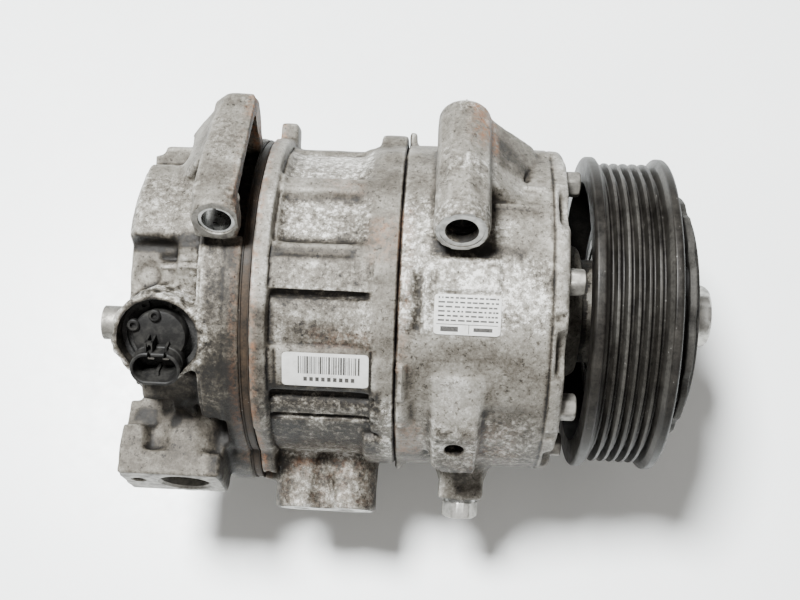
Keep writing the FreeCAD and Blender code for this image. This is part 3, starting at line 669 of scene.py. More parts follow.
def relief_from(rows, inner, outer):
    """Hollows and pads: x from and to, clock from and to, height, soft edge[, soft edge in x]."""
    def relief(points, normal):
        x, angle = points[:, 0], clock_of(points)
        height = np.zeros(len(points))
        for x0, x1, angle0, angle1, rise, soft, *soft_x in rows:
            height += (rise * window(x, x0, x1, soft_x[0] if soft_x else soft)
                       * window(angle, angle0, angle1, soft))
        return height * skin_of(points, normal, inner, outer)
    return relief


def regions(points, rows):
    """A sum of soft rectangles: x from and to, clock from and to, strength, soft edge."""
    x, angle = points[:, 0], clock_of(points)
    total = np.zeros(len(points))
    for x0, x1, angle0, angle1, strength, soft in rows:
        total += strength * window(x, x0, x1, soft) * window(angle, angle0, angle1, soft)
    return total


BLOCK_RELIEF = [
    (-41.5, -13, -58, -30.5, -1.5, 1.8, 4),
    (-42, -13, -21.5, -2.8, -1.2, 2.2, 4.5),
    (-44.6, -42.2, -50, 0, 0.9, 3, 1.2),
    (-43.5, -12, 0.2, 1, -0.45, 0.3, 2),
    (-42.5, -15, 2.4, 3, -0.40, 0.3, 2.5),
    (-42.4, -10.4, 14.2, 16.5, -2.2, 0.45, 1.8),
    (-42, -12, 15, 19, -0.5, 1.3, 3),
    (-42, -8, 19, 31.5, 0.5, 0.8),
    (-42.5, -40.9, 33.5, 48, -0.6, 0.7),
    (-9.2, -8.4, 33.5, 66, -0.9, 0.4),
    (-43.5, -5, 49.8, 53.6, -2.1, 0.6),
    (-43.5, -6, 60.4, 62.6, -1.5, 0.5),
    (-44.4, -43.4, -60, 110, -1, 0.4),
    (-16, -7, -62, -33, 0.6, 3),
] + [(-42, -12, start, start + 23, -1.4, 1.3, 2.4)
     for start in (-172, -141, -110, 122, 152)]
BLOCK_SPECK = [
    (-42, -12, -57, -32, 1.25, 1.2),
    (-42, -11, -20.5, -4, 1.30, 1.2),
    (-42, -8, 4, 33, 0.50, 1.5),
    (-46, 0, 50, 110, 0.85, 3),
]
# Darker regions, among them painted shadow under the ledge at clock 14 to 20, and painted shade
# in the grooves at clock 0 to 4 and 47 to 55.
BLOCK_DIRT_AND_SHADE = [
    (-43.4, -9.6, 14, 17, 0.95, 0.9),
    (-41, -13, 16.5, 20, 0.40, 1.4),
    (-43.5, -15, -0.3, 3.8, 0.42, 1),
    (-38, -14, 25, 34, 0.38, 2.5),
    (-44, -5, 46.8, 55, 0.92, 1.2),
    (-44, -5, 55, 66, 0.55, 2.5),
    (-46, -6, 66, 80, 0.75, 3),
    (-44, -5, 76, 86, 0.50, 2),
    (-50.4, -43, 20, 62, 0.42, 3),
    (-25, -12, -24, -20, 0.35, 2),
    (-22, -10, -12, -2.5, 0.22, 3),
]
BLOCK_RUST = [
    (-51, -47.8, -80, 110, 0.85, 0.9),
    (-11, 0.5, -12, 4, 0.45, 2.5),
    (-28, -14, -30, -23, 0.30, 2),
    (-30, -8, 27, 34, 0.22, 3),
    (-44, -5, 76, 120, 0.10, 4),
]
BLOCK_PALE = [
    (-42, -14, -57, -32, 0.66, 3),
    (-42, -14, -20.5, -4, 0.56, 3),
    (-44, -10, -30.5, -22.5, 0.24, 2),
    (-44, -5, 34, 49, 0.25, 2),
    (-12, 0, 36, 60, 0.30, 3),
    (-42, -6, 86, 120, 0.45, 4),
    (-50.4, -44, -60, 20, 0.35, 2),
]


def seam_line(points):
    return 1 - ramp(np.abs(points[:, 0]), 0.35, 0.95)


def shared_masks(normal, hollow):
    """Creases: dirt and painted shade. Faces that look down: darker. Rubbed edges: also a painted
    highlight.
    """
    return (ramp(hollow, 0.06, 0.50), ramp(-normal[:, 2], -0.1, 0.8),
            0.6 * ramp(-hollow, 0.08, 0.45))


def mottle(points, seed):
    return 0.4 + noise(points, 7, seed)


def block_masks(points, normal, hollow):
    crease, low, rubbed = shared_masks(normal, hollow)
    x, out = points[:, 0], points @ clock(PORT_CLOCK)
    port = ramp(out, 60.5, 62.5) * window(clock_of(points), 66, 130, 3)
    lobes = window(x, -39, -30, 1.8) + window(x, -24.5, -11.5, 1.8)
    ragged = ramp(noise(points, 3.4, 17), 0.2, 0.7)
    # Painted shade: the discharge port's groove and flanks between its lobes are darkened.
    shade = port * (1 - lobes * ramp(out, 62.5, 67)) * (0.55 + 0.45 * ragged)
    return {"dirt_and_shade": (regions(points, BLOCK_DIRT_AND_SHADE) * (1 - port) + 0.9 * crease
                      + 0.30 * low * (1 - port) + 0.62 * shade + 0.26 * port * lobes * ragged
                      + 1.1 * seam_line(points)),
            "rust": (regions(points, BLOCK_RUST)
                     + 0.25 * port * lobes * (1 - ramp(out, 64, 70))) * mottle(points, 11),
            "pale": 0.16 + regions(points, BLOCK_PALE) + rubbed - 0.22 * port * lobes,
            "speck": 0.18 + regions(points, BLOCK_SPECK) * (1 - 0.3 * port)}


def round_holes(x0, x1, radius, circle, start):
    return [drum(x0, x1, radius, start + i * 360 / CYLINDERS, circle, 48)
            for i in range(CYLINDERS)]


def countersunk(angle, x, side, outs, radius, chamfer=0.7):
    """A round hole with a chamfered mouth, drilled down from outs[1] to outs[0]."""
    depth = outs[1] - outs[0]
    return post(angle, x, side, outs[0], [(0, radius), (depth - chamfer, radius),
                                          (depth + 0.6, radius + chamfer + 0.6)])


block = casting(
    "cylinder_block_casting", "cylinder_block",
    fills=[drum(-50.4, 0, 57.6), rod(*PORT, (38, PORT_OUT), 8),
           rod(*PORT_BOLT, (38, PORT_OUT), 4)],
    adds=[shell(-8.2, -0.2, 50, 61.8, 35.5, 67), shell(-11.5, -0.5, 50, 62.6, 69, 96),
          shell(-50.3, -45.4, 50, 62, 20, 46), shell(-50.3, -45, 50, 63.2, 49, 66),
          shell(-50.3, -44.6, 50, 62.6, -58, 60, 60),
          *[shell(-5 - 3.2 * k, -4, 50, 61.4 - 0.75 * k, -172, 32, 96) for k in (1, 2, 3)],
          drum(-50.3, -30, 7.2, 103, 60),
          brick(PORT_CLOCK, (-43, -36), (PORT_SIDE - 6, PORT_SIDE + 6), (50, 79.2))],
    carve=[rod(PORT_CLOCK, -27.4, PORT_SIDE + 12, (66, 84), 4.2, top=6.5),
           rod(PORT_CLOCK, -48, PORT_SIDE + 8, (64, 84), 4)],
    cuts=[drum(-0.02, 6, BEYOND), drum(-58, -50.38, BEYOND),
          *round_holes(-52, -13.5, 15, 37.5, BOLT_CLOCK + STEP / 2),
          drum(-14, 2, CHAMBER, count=192), drum(-52, -13, SHAFT_ROOM),
          drum(-22, -13, 16), *round_holes(-52, 2, BOLT_ROOM, BOLT_CIRCLE, BOLT_CLOCK),
          drum(-52, -13.5, 4, 103, 61.5, 32),
          brick(PORT_CLOCK, (-52, -2), (PORT_SIDE - 20, PORT_SIDE + 20),
                (PORT_FACE, PORT_OUT + 6)),
          countersunk(*PORT, (60, PORT_FACE), 6.5, 0.9),
          countersunk(*PORT_BOLT, (62.3, PORT_FACE), 2.5, 0.5)],
    rounding=5, relief=relief_from(BLOCK_RELIEF, 55, 61.5), masks=block_masks)


# ---- front housing

HOUSING_RELIEF = [
    (52, 52.8, -180, 180, -0.5, 0.3),
    (0.6, 4.6, 8, 15, 1.5, 1.4),
    (0.6, 4.6, 19, 25, 1.3, 1.4),
    (5.8, 8.6, 7, 25, -1.2, 2.2, 1.2),
    (13.5, 34.5, 1.8, 12.2, 0.8, 0.6),
    (8.6, 10.4, 6, 26, 0.5, 0.6),
    (52.6, 57, -40, -30, -0.8, 1),
    (53.6, 58, 18, 21, -0.9, 0.7),
    (53.6, 58, 62, 66, -0.9, 0.8),
    (4.6, 8.5, 38, 60, -0.55, 3, 1.6),
    (30, 44, -38, -30, -2.2, 1.6),
    (34, 50, -27, -25.5, 0.9, 0.8),
    (32, 48, -19, -17.5, 0.8, 0.8),
    (0.4, 3.2, 36.5, 61, 1.5, 0.6),
    (30, 46, 52, 78, -0.6, 2),
    (44, 51, -6, 6, -0.5, 1),
] + [(13, 50, start, start + 2.4, 1.1, 0.9, 2)
     for start in (-168, -140, -112, 122, 150)]
# Darker regions, among them painted shadow under the front lug at clock -5 to 1, and painted
# shade in the pocket beside it at clock -40 to -29 and in the groove at x 4.8 to 8.4.
HOUSING_DIRT_AND_SHADE = [
    (11, 31, -5, 1, 0.90, 1.8),
    (28, 43, -2.6, 1, 0.42, 2),
    (4.8, 8.4, 6, 26, 0.26, 2),
    (29, 45, -40, -29, 0.65, 2.5),
    (30, 50, 50, 76, 0.22, 6),
    (8, 42, 28, 40, 0.14, 6),
    (51.8, 53, -40, 90, 0.50, 0.5),
    (46, 52, 2, 12, 0.35, 2),
    (26, 48, -22, -12, 0.35, 3),
    (0, 60, 76, 120, 0.34, 5),
]
HOUSING_RUST = [
    (-1, 4, -15, 40, 0.42, 2),
    (26, 44, 60, 86, 0.22, 5),
    (0, 10, 60, 80, 0.60, 3),
]
HOUSING_PALE = [
    (0.5, 12, -14, 24, 0.55, 2.5),
    (13, 52, 2, 27, 0.58, 3),
    (30, 56, -35, -2, 0.30, 4),
    (53.5, 60, -50, 90, 0.35, 0.8),
    (13, 31, 40, 58, 0.95, 1.5),
]
HOUSING_SPECK = [
    (0.5, 12, -20, 26, 0.95, 2),
    (13, 52, 0, 24, 0.70, 3),
    (10, 52, 56, 110, 0.70, 4),
    (26, 40, -12, -4, 0.60, 2),
]


def housing_relief(points, normal):
    height = relief_from(HOUSING_RELIEF, 58, 62)(points, normal)
    turn, reach, along = about(points, *FRONT_LUG)
    tube = (window(reach, 7.8, 10.3, 0.5) * ramp(along, -27, -20)
            * (1 - ramp(along, 21, 26)))
    ridges = np.maximum(0, np.sin(np.radians(turn * 9))) ** 2 - 0.4
    height += (0.10 + 0.35 * noise(points, 9, 8)) * tube * ridges
    return height


def bore_shade(points, place, radius):
    """1 inside a drilled hole; the masks darken it there as painted shade."""
    return 1 - ramp(about(points, *place)[1], radius + 0.2, radius + 0.6)


def housing_masks(points, normal, hollow):
    crease, low, rubbed = shared_masks(normal, hollow)
    crease = 1.2 * crease
    turn, reach, along = about(points, *FRONT_LUG)
    tube = 1 - ramp(reach, 11, 13)
    top = tube * (1 - ramp(along, -16, -4)) * ramp(points[:, 0], 20, 26)
    streak = window(turn, 40, 62, 6) * tube * ramp(noise(points, 2.2, 21), 0.45, 0.75)
    # Painted highlight: the top of the bracket boss is made lighter.
    boss = (window(points[:, 0], 13, 30.4, 0.6)
            * ramp(normal @ clock(40), 0.80, 0.93) * window(clock_of(points), 36, 62, 1))
    # Painted shade: the flat front face of the bracket boss is made darker.
    face = ramp(normal @ clock(LUG_CLOCK), 0.96, 0.99) * window(points[:, 0], 12, 31, 0.8)
    face *= window(points @ clock(LUG_CLOCK), 65, 67, 0.4)
    neck = ramp(points @ clock(PLUG_CLOCK), 60, 63.5) * window(points[:, 0], 15, 36, 2)
    # Painted shade in the hollow middle of the oil plug's neck, between its side walls.
    hollow_side = neck * window(points[:, 0], 22.8, 28.4, 1.5)
    return {"dirt_and_shade": ((regions(points, HOUSING_DIRT_AND_SHADE) * (1 - 0.8 * tube) + 0.28 * low)
                      * (1 - 0.75 * neck) + 0.75 * crease * (1 - 0.5 * neck) + 0.8 * streak
                      - 0.8 * boss + 0.30 * hollow_side + 0.22 * face
                      + 1.1 * seam_line(points)
                      + 1.4 * np.maximum(bore_shade(points, FRONT_LUG, LUG_BORE),
                                         bore_shade(points, BRACKET, BOLT_ROOM))),
            "rust": (regions(points, HOUSING_RUST) + 1.3 * top) * mottle(points, 12),
            "pale": 0.26 + regions(points, HOUSING_PALE) - 0.06 * tube + rubbed,
            "speck": (0.25 + regions(points, HOUSING_SPECK) * (1 - 0.7 * tube) * (1 - 0.8 * neck)
                      - 0.2 * boss + 0.6 * tube * ramp(noise(points, 7, 22), 0.45, 0.65))}


housing = casting(
    "front_housing_casting", "front_housing",
    fills=[drum(0, 57.6, 60.8), drum(57, 95.9, 19.5),
           rod(*FRONT_LUG, (-29.4, 27), 9.55, 96),
           rod(*FRONT_LOW, (-10, 22), 6.5),
           rod(*BRACKET, (50, 66), 4.5),
           rod(*OIL_PLUG, (45, 74.6), 6.5)],
    adds=[tile(LUG_CLOCK, [(11.6, 20), (11.4, -22), (13, -27), (17, -29.3),
                           (25, -29.3), (28.8, -26), (29.6, -20), (29.4, 20)],
               (56, 76.2)),
          drum(0, 3.4, 9.5, 55, 54),
          brick(PLUG_CLOCK, (17.2, 20.6), (-8, 8), (45, 74.4)),
          brick(PLUG_CLOCK, (30.8, 34.2), (-8, 8), (45, 74.4)),
          post(*OIL_PLUG, 54, [(0, 17), (5, 13.2), (9, 10.6), (13, 9.4)]),
          drum(30, 56, 9, -52, 53.5), drum(44, 57.5, 8, -2, 53.2),
          *[drum(46, 58.3, 8.2, BOLT_CLOCK + i * STEP, 52) for i in range(CYLINDERS)]],
    carve=[slab(LUG_CLOCK, [(10, -20), (21, -20), (10, -9.5)], (58, 70)),
           *[drum(54.5, 62, 11, BOLT_CLOCK + (i + 0.5) * STEP, 66.5)
             for i in range(CYLINDERS)]],
    cuts=[drum(-6, 0.02, BEYOND), drum(-1, 46.8, CHAMBER, count=192), drum(45.8, 97, SHAFT_ROOM),
          drum(57.2, 97, 14.02), lathe([(-1, 56.5), (1.9, 56.5), (1.9, 59.1), (-1, 59.1)]),
          lathe([(66, 20.02), (97, 20.02), (97, 30), (70, 30)]),
          drum(95.98, 99, 30), *round_holes(-1, 60, BOLT_ROOM, BOLT_CIRCLE, BOLT_CLOCK),
          *[drum(BOLT_SEAT, 70, 6.2, BOLT_CLOCK + i * STEP, BOLT_CIRCLE, 40)
            for i in range(CYLINDERS)],
          rod(*FRONT_LUG, (LUG_FACE, 30), 14),
          lathe([(73, 13), (74.2, 13), (74.2, 15.2), (73, 15.2)]),
          countersunk(*FRONT_LUG, (-32, LUG_FACE), LUG_BORE),
          rod(*FRONT_LUG, (LUG_STEP, 28), 7.4, 64),
          *[rod(*FRONT_LUG, (z, z + 1), 5.8, 64) for z in (19.4, 22.2)],
          rod(*FRONT_LOW, (LOW_FACE, 26), 12),
          countersunk(*FRONT_LOW, (-12, LOW_FACE), LUG_BORE),
          brick(LUG_CLOCK, (12, 31.5), (-18.5, 3), (65.8, 72)),
          countersunk(*BRACKET, (55, 65.8), BOLT_ROOM, 0.5),
          rod(*OIL_PLUG, (PLUG_FACE, 84), 13),
          rod(*OIL_PLUG, (50, 76), 5.02)],
    rounding=6, relief=housing_relief, masks=housing_masks)


# ---- rear head

HEAD_RELIEF = [
    (-84, -77, 1.4, 4, -1.6, 1.3),
    (-84, -68, 5.6, 7.4, 0.8, 0.6),
    (-76.5, -69.5, -2, 5, 0.9, 1.2),
    (-69, -67.8, -20, 60, -0.7, 0.7),
    (-60.5, -59.3, 0, 110, -0.5, 0.5),
    (-95, -88, 34, 46, -1.2, 1.8),
]
# Darker regions, among them painted shadow under the ledge at clock -4.2 to 0.6 and -6 to 0, and
# painted shade in the pocket at x -84 to -77.
HEAD_DIRT_AND_SHADE = [
    (-95, -66, -4.2, 0.6, 0.90, 1.3),
    (-84, -77, 1.4, 4.4, 0.55, 1.5),
    (-76, -66, -6, 0, 0.70, 1.2),
    (-66, -53.7, -60, 110, 0.62, 2),
    (-72, -54, 40, 66, 0.60, 4),
    (-98, -66, 48, 68, 0.55, 4),
]
HEAD_RUST = [
    (-57, -53, -30, 90, 0.30, 1.2),
]
HEAD_PALE = [
    (-100, -66, -46, -6, 0.03, 4),
    (-74, -60, -10, 40, 0.22, 4),
]
HEAD_SPECK = [
    (-100, -62, -30, -4, 0.55, 4),
    (-74, -60, 0, 60, 0.45, 4),
]


def head_masks(points, normal, hollow):
    crease, low, rubbed = shared_masks(normal, hollow)
    _, reach, along = about(points, *REAR_LUG)
    tube = 1 - ramp(reach, 12, 15)
    tip = tube * (1 - ramp(along, -22, -12)) * ramp(points[:, 0], -59, -54)
    # Painted shade, with some dirt, on the lug's wall that faces +X.
    wall = ramp(normal[:, 0], 0.6, 0.9) * tube
    _, ring, rise = about(points, *VALVE)
    # Painted shade inside the valve's pocket.
    inside = (1 - ramp(ring, 14.2, 15.2)) * ramp(rise, 30, 44)
    crust = (1 - ramp(ring, 16.8, 19)) * ramp(rise, 46, 52) * (1 - inside)
    out = points @ clock(SUCTION_CLOCK)
    suction = ramp(out, 38, 46) * window(clock_of(points), 60, 120, 4)
    spots = suction * ramp(noise(points, 5, 18), 0.50, 0.72) * (1 - ramp(out, 54, 64))
    return {"dirt_and_shade": (regions(points, HEAD_DIRT_AND_SHADE) * (1 - 0.9 * tube) + 0.85 * crease + 0.28 * low
                      + 0.95 * wall + inside + 0.9 * spots + 0.22 * suction
                      + 0.9 * crust * ramp(noise(points, 2.4, 19), 0.45, 0.65)
                      + 1.4 * bore_shade(points, REAR_LUG, LUG_BORE)),
            "rust": (regions(points, HEAD_RUST) + 0.9 * tip) * mottle(points, 13),
            "pale": 0.18 + regions(points, HEAD_PALE) - 0.06 * tube + 0.15 * crust + rubbed,
            "speck": (0.16 + regions(points, HEAD_SPECK) * (1 - 0.8 * tube) + 0.8 * crust
                      + 0.35 * tube * ramp(noise(points, 7, 23), 0.50, 0.70))}


def head_relief(points, normal):
    """The ledges of the head, and the rough rim of the valve boss."""
    _, ring, rise = about(points, *VALVE)
    rim = window(ring, 13, 17.2, 0.8) * ramp(rise, 46, 52)
    lumps = (noise(points, 4.2, 9) - 0.5) * 1.5 + (noise(points, 1.9, 10) - 0.5) * 0.8
    return relief_from(HEAD_RELIEF, 46, 63)(points, normal) + rim * lumps


SHROUD_SIDE, SHROUD_HALF = -7.6, 3
socket_room = [rod(VALVE_CLOCK, VALVE_X + d, SHROUD_SIDE, (54, 63), 6.7)
               for d in (-SHROUD_HALF, SHROUD_HALF)]
head = casting(
    "rear_head_casting", "rear_head",
    fills=[drum(-94.4, -53.7, 50), rod(*VALVE, (-12, 60.4), 15.2),
           rod(*REAR_LUG, (-29.4, 27), 8.95, 96),
           rod(*REAR_LOW, (-10, 22), 5.5),
           rod(*SUCTION, (30, SUCTION_OUT), 13.2),
           rod(*SUCTION_BOLT, (55, SUCTION_OUT), 3.4)],
    adds=[tile(LUG_CLOCK, [(-69.2, 22), (-68.4, -8), (-67.2, -22), (-64.5, -27.5),
                           (-61, -29.4), (-54.2, -29.4), (-53.9, -24), (-54.2, 10),
                           (-54.8, 22)], (61, 78.6)),
          shell(-95.5, -66, 38, 54.2, -45, -3.8),
          drum(-94, -66, 12, -24, 44), drum(-97.5, -70, 10, -62, 44),
          drum(-99, -80, 24, -30, 14),
          *[shell(-77.5, -62, 45, 56.6 - 1.6 * k, -6, 1 + 4 * k) for k in range(4)],
          slab(SUCTION_CLOCK, [(-99, -4), (-82, 2), (-82, 12), (-99, 12)],
               (50, 74.5)),
          rod(60, -86, 0, (40, 55.5), 5), rod(64, -70, 0, (40, 56.5), 6)],
    carve=[shell(-100, -78.5, 50.6, 64, -61, -38),
           slab(SUCTION_CLOCK, [(-101, 7.5), (-88.5, 7.5), (-84.5, 10.4), (-80.5, 12.8),
                                (-80.5, 22), (-101, 22)], (44, 57)),
           slab(SUCTION_CLOCK, [(-88.8, 9), (-84.5, 10.4), (-80.5, 12.8), (-80.5, 22),
                                (-90.8, 22), (-90.8, 12)], (56, 66.4)),
           slab(SUCTION_CLOCK, [(-72, 12.8), (-68.5, 10.6), (-64.5, 7), (-60, 7),
                                (-60, 22), (-72, 22)], (44, 66.4)),
           rod(SUCTION_CLOCK, -84, 15.5, (43, 50), 5, top=3),
           rod(SUCTION_CLOCK, -98, 10, (44, 57), 4.5, top=3),
           rod(LUG_CLOCK, -70.5, 60, (-24, 6), 3, top=4),
           slab(LUG_CLOCK, [(-62.5, 52), (-53, 52), (-53, 75), (-55.4, 75)],
                (-22, 21)),
           rod(10, -88, 0, (49, 70), 5)],
    cuts=[drum(-53.72, -48, BEYOND), drum(-66.5, -52, 32),
          lathe([(-66.5, 36), (-52, 36), (-52, 48), (-66.5, 48)]),
          brick(SUCTION_CLOCK, (-106, -58), (-25, 25), (SUCTION_FACE, 84)),
          countersunk(*SUCTION, (47.5, SUCTION_FACE), 9, 1),
          rod(*SUCTION, (24, 48.5), 6.5),
          drum(SUCTION_X, -52, 6, SUCTION_CLOCK, 25, 32),
          countersunk(*SUCTION_BOLT, (60.5, SUCTION_FACE), 2.5, 0.5),
          rod(*VALVE, (-14, 62), 10.5),
          rod(*VALVE, (48, 64), 14, count=96), *socket_room,
          brick(VALVE_CLOCK, (VALVE_X - SHROUD_HALF, VALVE_X + SHROUD_HALF),
                (SHROUD_SIDE - 6.7, SHROUD_SIDE + 6.7), (54, 63)),
          rod(*REAR_LUG, (LUG_FACE, 30), 14),
          countersunk(*REAR_LUG, (-32, LUG_FACE), LUG_BORE),
          rod(*REAR_LUG, (15, 28), 6.17),
          rod(*REAR_LOW, (LOW_FACE, 26), 12),
          countersunk(*REAR_LOW, (-12, LOW_FACE), 4.25),
          *round_holes(-67.5, -52, 3.06, BOLT_CIRCLE, BOLT_CLOCK)],
    rounding=6, relief=head_relief, masks=head_masks)


# ---- machined faces on the castings

def machined_faces(thing, tests, look=MACHINED):
    """Flat machined faces: (clock angle, x, side, distance out, radius)."""
    coat(thing, CAST, look)
    centre, normal = face_centres(thing.data)
    pick = np.zeros(len(centre), np.int32)
    for *place, out, radius in tests:
        _, reach, along = about(centre, *place)
        flat = (normal @ clock(place[0]) > 0.985) & (np.abs(along - out) < 0.12)
        pick[flat & (reach < radius)] = 1
    thing.data.polygons.foreach_set("material_index", pick)
    thing.data.update()


def bore_faces(thing, rows):
    """The walls of drilled holes are bright too: (clock angle, x, side, radius, outs)."""
    centre, normal = face_centres(thing.data)
    pick = np.zeros(len(centre), np.int32)
    thing.data.polygons.foreach_get("material_index", pick)
    for *place, radius, outs in rows:
        _, reach, along = about(centre, *place)
        wall = (np.abs(reach - radius) < 1.3) & (along > outs[0]) & (along < outs[1])
        pick[wall & (np.abs(normal @ clock(place[0])) < 0.8)] = 1
    thing.data.polygons.foreach_set("material_index", pick)
    thing.data.update()


machined_faces(block, [(PORT_CLOCK, -28, PORT_SIDE, PORT_FACE, 30)])
machined_faces(housing, [(*FRONT_LUG, LUG_FACE, 9.6), (*FRONT_LUG, LUG_STEP, 7.6),
                         (*FRONT_LOW, LOW_FACE, 8.6), (*OIL_PLUG, PLUG_FACE, 12)])
machined_faces(head, [(*REAR_LUG, LUG_FACE, 12), (*REAR_LOW, LOW_FACE, 8),
                      (SUCTION_CLOCK, -80, 0, SUCTION_FACE, 40)], DULL)
bore_faces(head, [(*SUCTION, 9.3, (48, 75.2))])
bore_faces(block, [(*PORT, 6.8, (60, 80))])


# ---- pulley

def rounded(profile, radius):
    """Round the corners of a closed (x, radius) outline, which may have limits of their own."""
    count, steps = len(profile), 4
    out = []
    for i in range(count):
        here = np.array(profile[i][:2])
        limit = profile[i][2] if len(profile[i]) > 2 else radius
        before, after = np.array(profile[i - 1][:2]), np.array(profile[(i + 1) % count][:2])
        back, ahead = before - here, after - here
        reach = min(limit, 0.45 * np.linalg.norm(back), 0.45 * np.linalg.norm(ahead))
        if reach < 0.02:
            out.append(tuple(here))
            continue
        start = here + back / np.linalg.norm(back) * reach
        end = here + ahead / np.linalg.norm(ahead) * reach
        for k in range(steps + 1):
            t = k / steps
            out.append(tuple((1 - t) ** 2 * start + 2 * t * (1 - t) * here + t * t * end))
    return out


PITCH, FIRST_GROOVE, RIDGE, GROOVE = 3.56, 73.18, 57.6, 3.1
outline = [(66.6, 50), (66.6, 58.9), (67.4, 59.78), (70.2, 59.78), (71, 58.6)]
for k in range(6):
    middle = FIRST_GROOVE + k * PITCH
    outline += [(middle - PITCH / 2 + 0.50, RIDGE, 0.25), (middle - 0.42, RIDGE - GROOVE, 0.3),
                (middle + 0.42, RIDGE - GROOVE, 0.3), (middle + PITCH / 2 - 0.50, RIDGE, 0.25)]
outline += [(93.4, 59.2), (93.9, 59.78), (96, 59.78), (96.9, 58.9), (96.9, 51.4),
            (90.2, 50, 1.2), (90, 37.5, 1.2), (94.8, 36), (94.9, 31), (74, 31),
            (74, 36), (84, 37.5, 1.2), (84, 50, 1.2)]


def pulley_wear(points):
    radius = np.hypot(points[:, 1], points[:, 2])
    ridge = (ramp(radius, RIDGE - 0.55, RIDGE - 0.10) * (points[:, 0] > 70.8)
             * (points[:, 0] < 93.5))
    rim = ramp(radius, 59.2, 59.75)
    scuffs = noise(np.column_stack([points[:, 0] * 2, points[:, 1] * 0.35, points[:, 2] * 0.35]),
                   6, 31)
    return 0.42 * ridge * ramp(scuffs, 0.3, 0.75) + 0.07 * rim * ramp(scuffs, 0.4, 0.7)


pulley = link("ribbed_pulley", mesh_of("ribbed_pulley", [lathe(rounded(outline, 0.5), 320)]))
paint(pulley.data, worn=pulley_wear(coordinates(pulley.data)))
finished(pulley, PULLEY_COAT, "drive", ["pulley"], 40)


# ---- hub, nut, bolts and oil plug

def hub_piece():
    rear, front, radius = 101.4, HUB_FRONT, 46
    steps = 360
    wave = -1.35 * ((np.degrees(around(steps)) - 15) % 30 < 9)
    wave = np.convolve(np.tile(wave, 3), np.ones(5) / 5, "same")[steps:2 * steps]
    profile = rounded([(98, 7.6), (98, 16.8), (rear, 17), (rear, radius, 0.6),
                       (front - 2.2, radius, 0.7), (front - 1.8, 41.5, 0.6), (front, 40.6, 0.6),
                       (front, 34.5, 0.8), (front - 2.2, 33, 0.8), (front - 2.2, 20.5, 0.8),
                       (front, 19, 0.8), (front, 7.6, 0.3)], 0.5)
    points, faces = lathe(profile, steps)
    reach = np.hypot(points[:, 1], points[:, 2])
    index = np.repeat(np.arange(steps), len(profile))
    scale = 1 + wave[index] * ramp(reach, 40, 45) / np.maximum(reach, 1)
    points[:, 1:] *= scale[:, None]
    thing = link("drive_hub", mesh_of("drive_hub", [(points, faces)]))
    carved(thing, [drum(96, 110, 3.4, k * 60, 26, 40) for k in range(6)])
    points = coordinates(thing.data)
    reach = np.hypot(points[:, 1], points[:, 2])
    paint(thing.data, worn=0.5 * ramp(reach, 44.8, 45.8) + 0.4 * (1 - ramp(reach, 17, 19.5)))
    finished(thing, HUB_COAT, "drive", ["hub_plate"], 32)


def six_sided(base, axis, across, rings, start):
    """A nut or bolt head: rings of (height, limit); each ring is the hexagon cut by a circle."""
    u, v, w = frame_of(axis)
    turn = around(96)
    local = (np.degrees(turn) - start + 30) % 60 - 30
    flat = across / 2 / np.cos(np.radians(local))
    rows = []
    for height, limit in rings:
        radius = np.minimum(flat, limit)
        rows.append(base + height * w + radius[:, None] * (np.outer(np.cos(turn), u)
                                                           + np.outer(np.sin(turn), v)))
    return loft(rows)


def simple_piece(name, parts, look, body, node, sharp=30, cuts=()):
    thing = link(name, mesh_of(name, parts))
    if cuts:
        carved(thing, cuts)
    finished(thing, look, body, [node], sharp)


hub_piece()
nut_rings = [(0, 11.3), (0.7, 11.9), (9.6, 12.05), (10.6, 11.5), (11.4, 10.6), (11.75, 9.8)]
simple_piece("hub_nut_head", [six_sided(spot(0, HUB_FRONT), AX, 21.6, nut_rings, 12)],
             ZINC, "drive", "hub_nut", 28,
             [stack(spot(0, 105), AX, [(0, 7.55), (9.5, 7.55)], 64),
              stack(spot(0, 114.4), AX, [(0, 7), (4, 8.4)], 64)])

head_rings = [(0, 4.5), (0.25, 4.85), (5, 4.88), (5.6, 4.55), (6, 3.9)]
bolt_parts = []
for k in range(CYLINDERS):
    head_base, stem_base = (spot(BOLT_CLOCK + k * STEP, x, 0, BOLT_CIRCLE)
                            for x in (BOLT_SEAT, -66.5))
    bolt_parts.append(six_sided(head_base, AX, 8.7, head_rings, 17 * k))
    bolt_parts.append(stack(stem_base, AX, [(0, 2.5), (0.8, 3), (124.6, 3)], 32))
simple_piece("through_bolt_set", bolt_parts, DULL, "housing", "through_bolts")
plug_rings = [(0, 5.9), (0.5, 6.8), (5.3, 6.95), (6.1, 6.5), (6.38, 5.8)]
simple_piece("oil_plug_head",
             [six_sided(spot(*OIL_PLUG, 75.8), clock(PLUG_CLOCK), 12.1, plug_rings, 0),
              post(*OIL_PLUG, 60.6, [(0, 4.4), (0.6, 4.95), (15.3, 4.95)])],
             ZINC, "housing", "oil_plug")


# ---- control valve connector

def slant(out):
    """The shroud leans, so its axis moves sideways with the distance out."""
    return SHROUD_SIDE + 0.26 * (56.5 - out)


def oval(out, radius):
    """A stadium outline about the connector's axis, at a distance out."""
    rows = []
    for t in around(72):
        shift = SHROUD_HALF if math.cos(t) >= 0 else -SHROUD_HALF
        rows.append(spot(VALVE_CLOCK, VALVE_X + shift + radius * math.cos(t),
                         slant(out) + radius * math.sin(t), out))
    return np.array(rows)


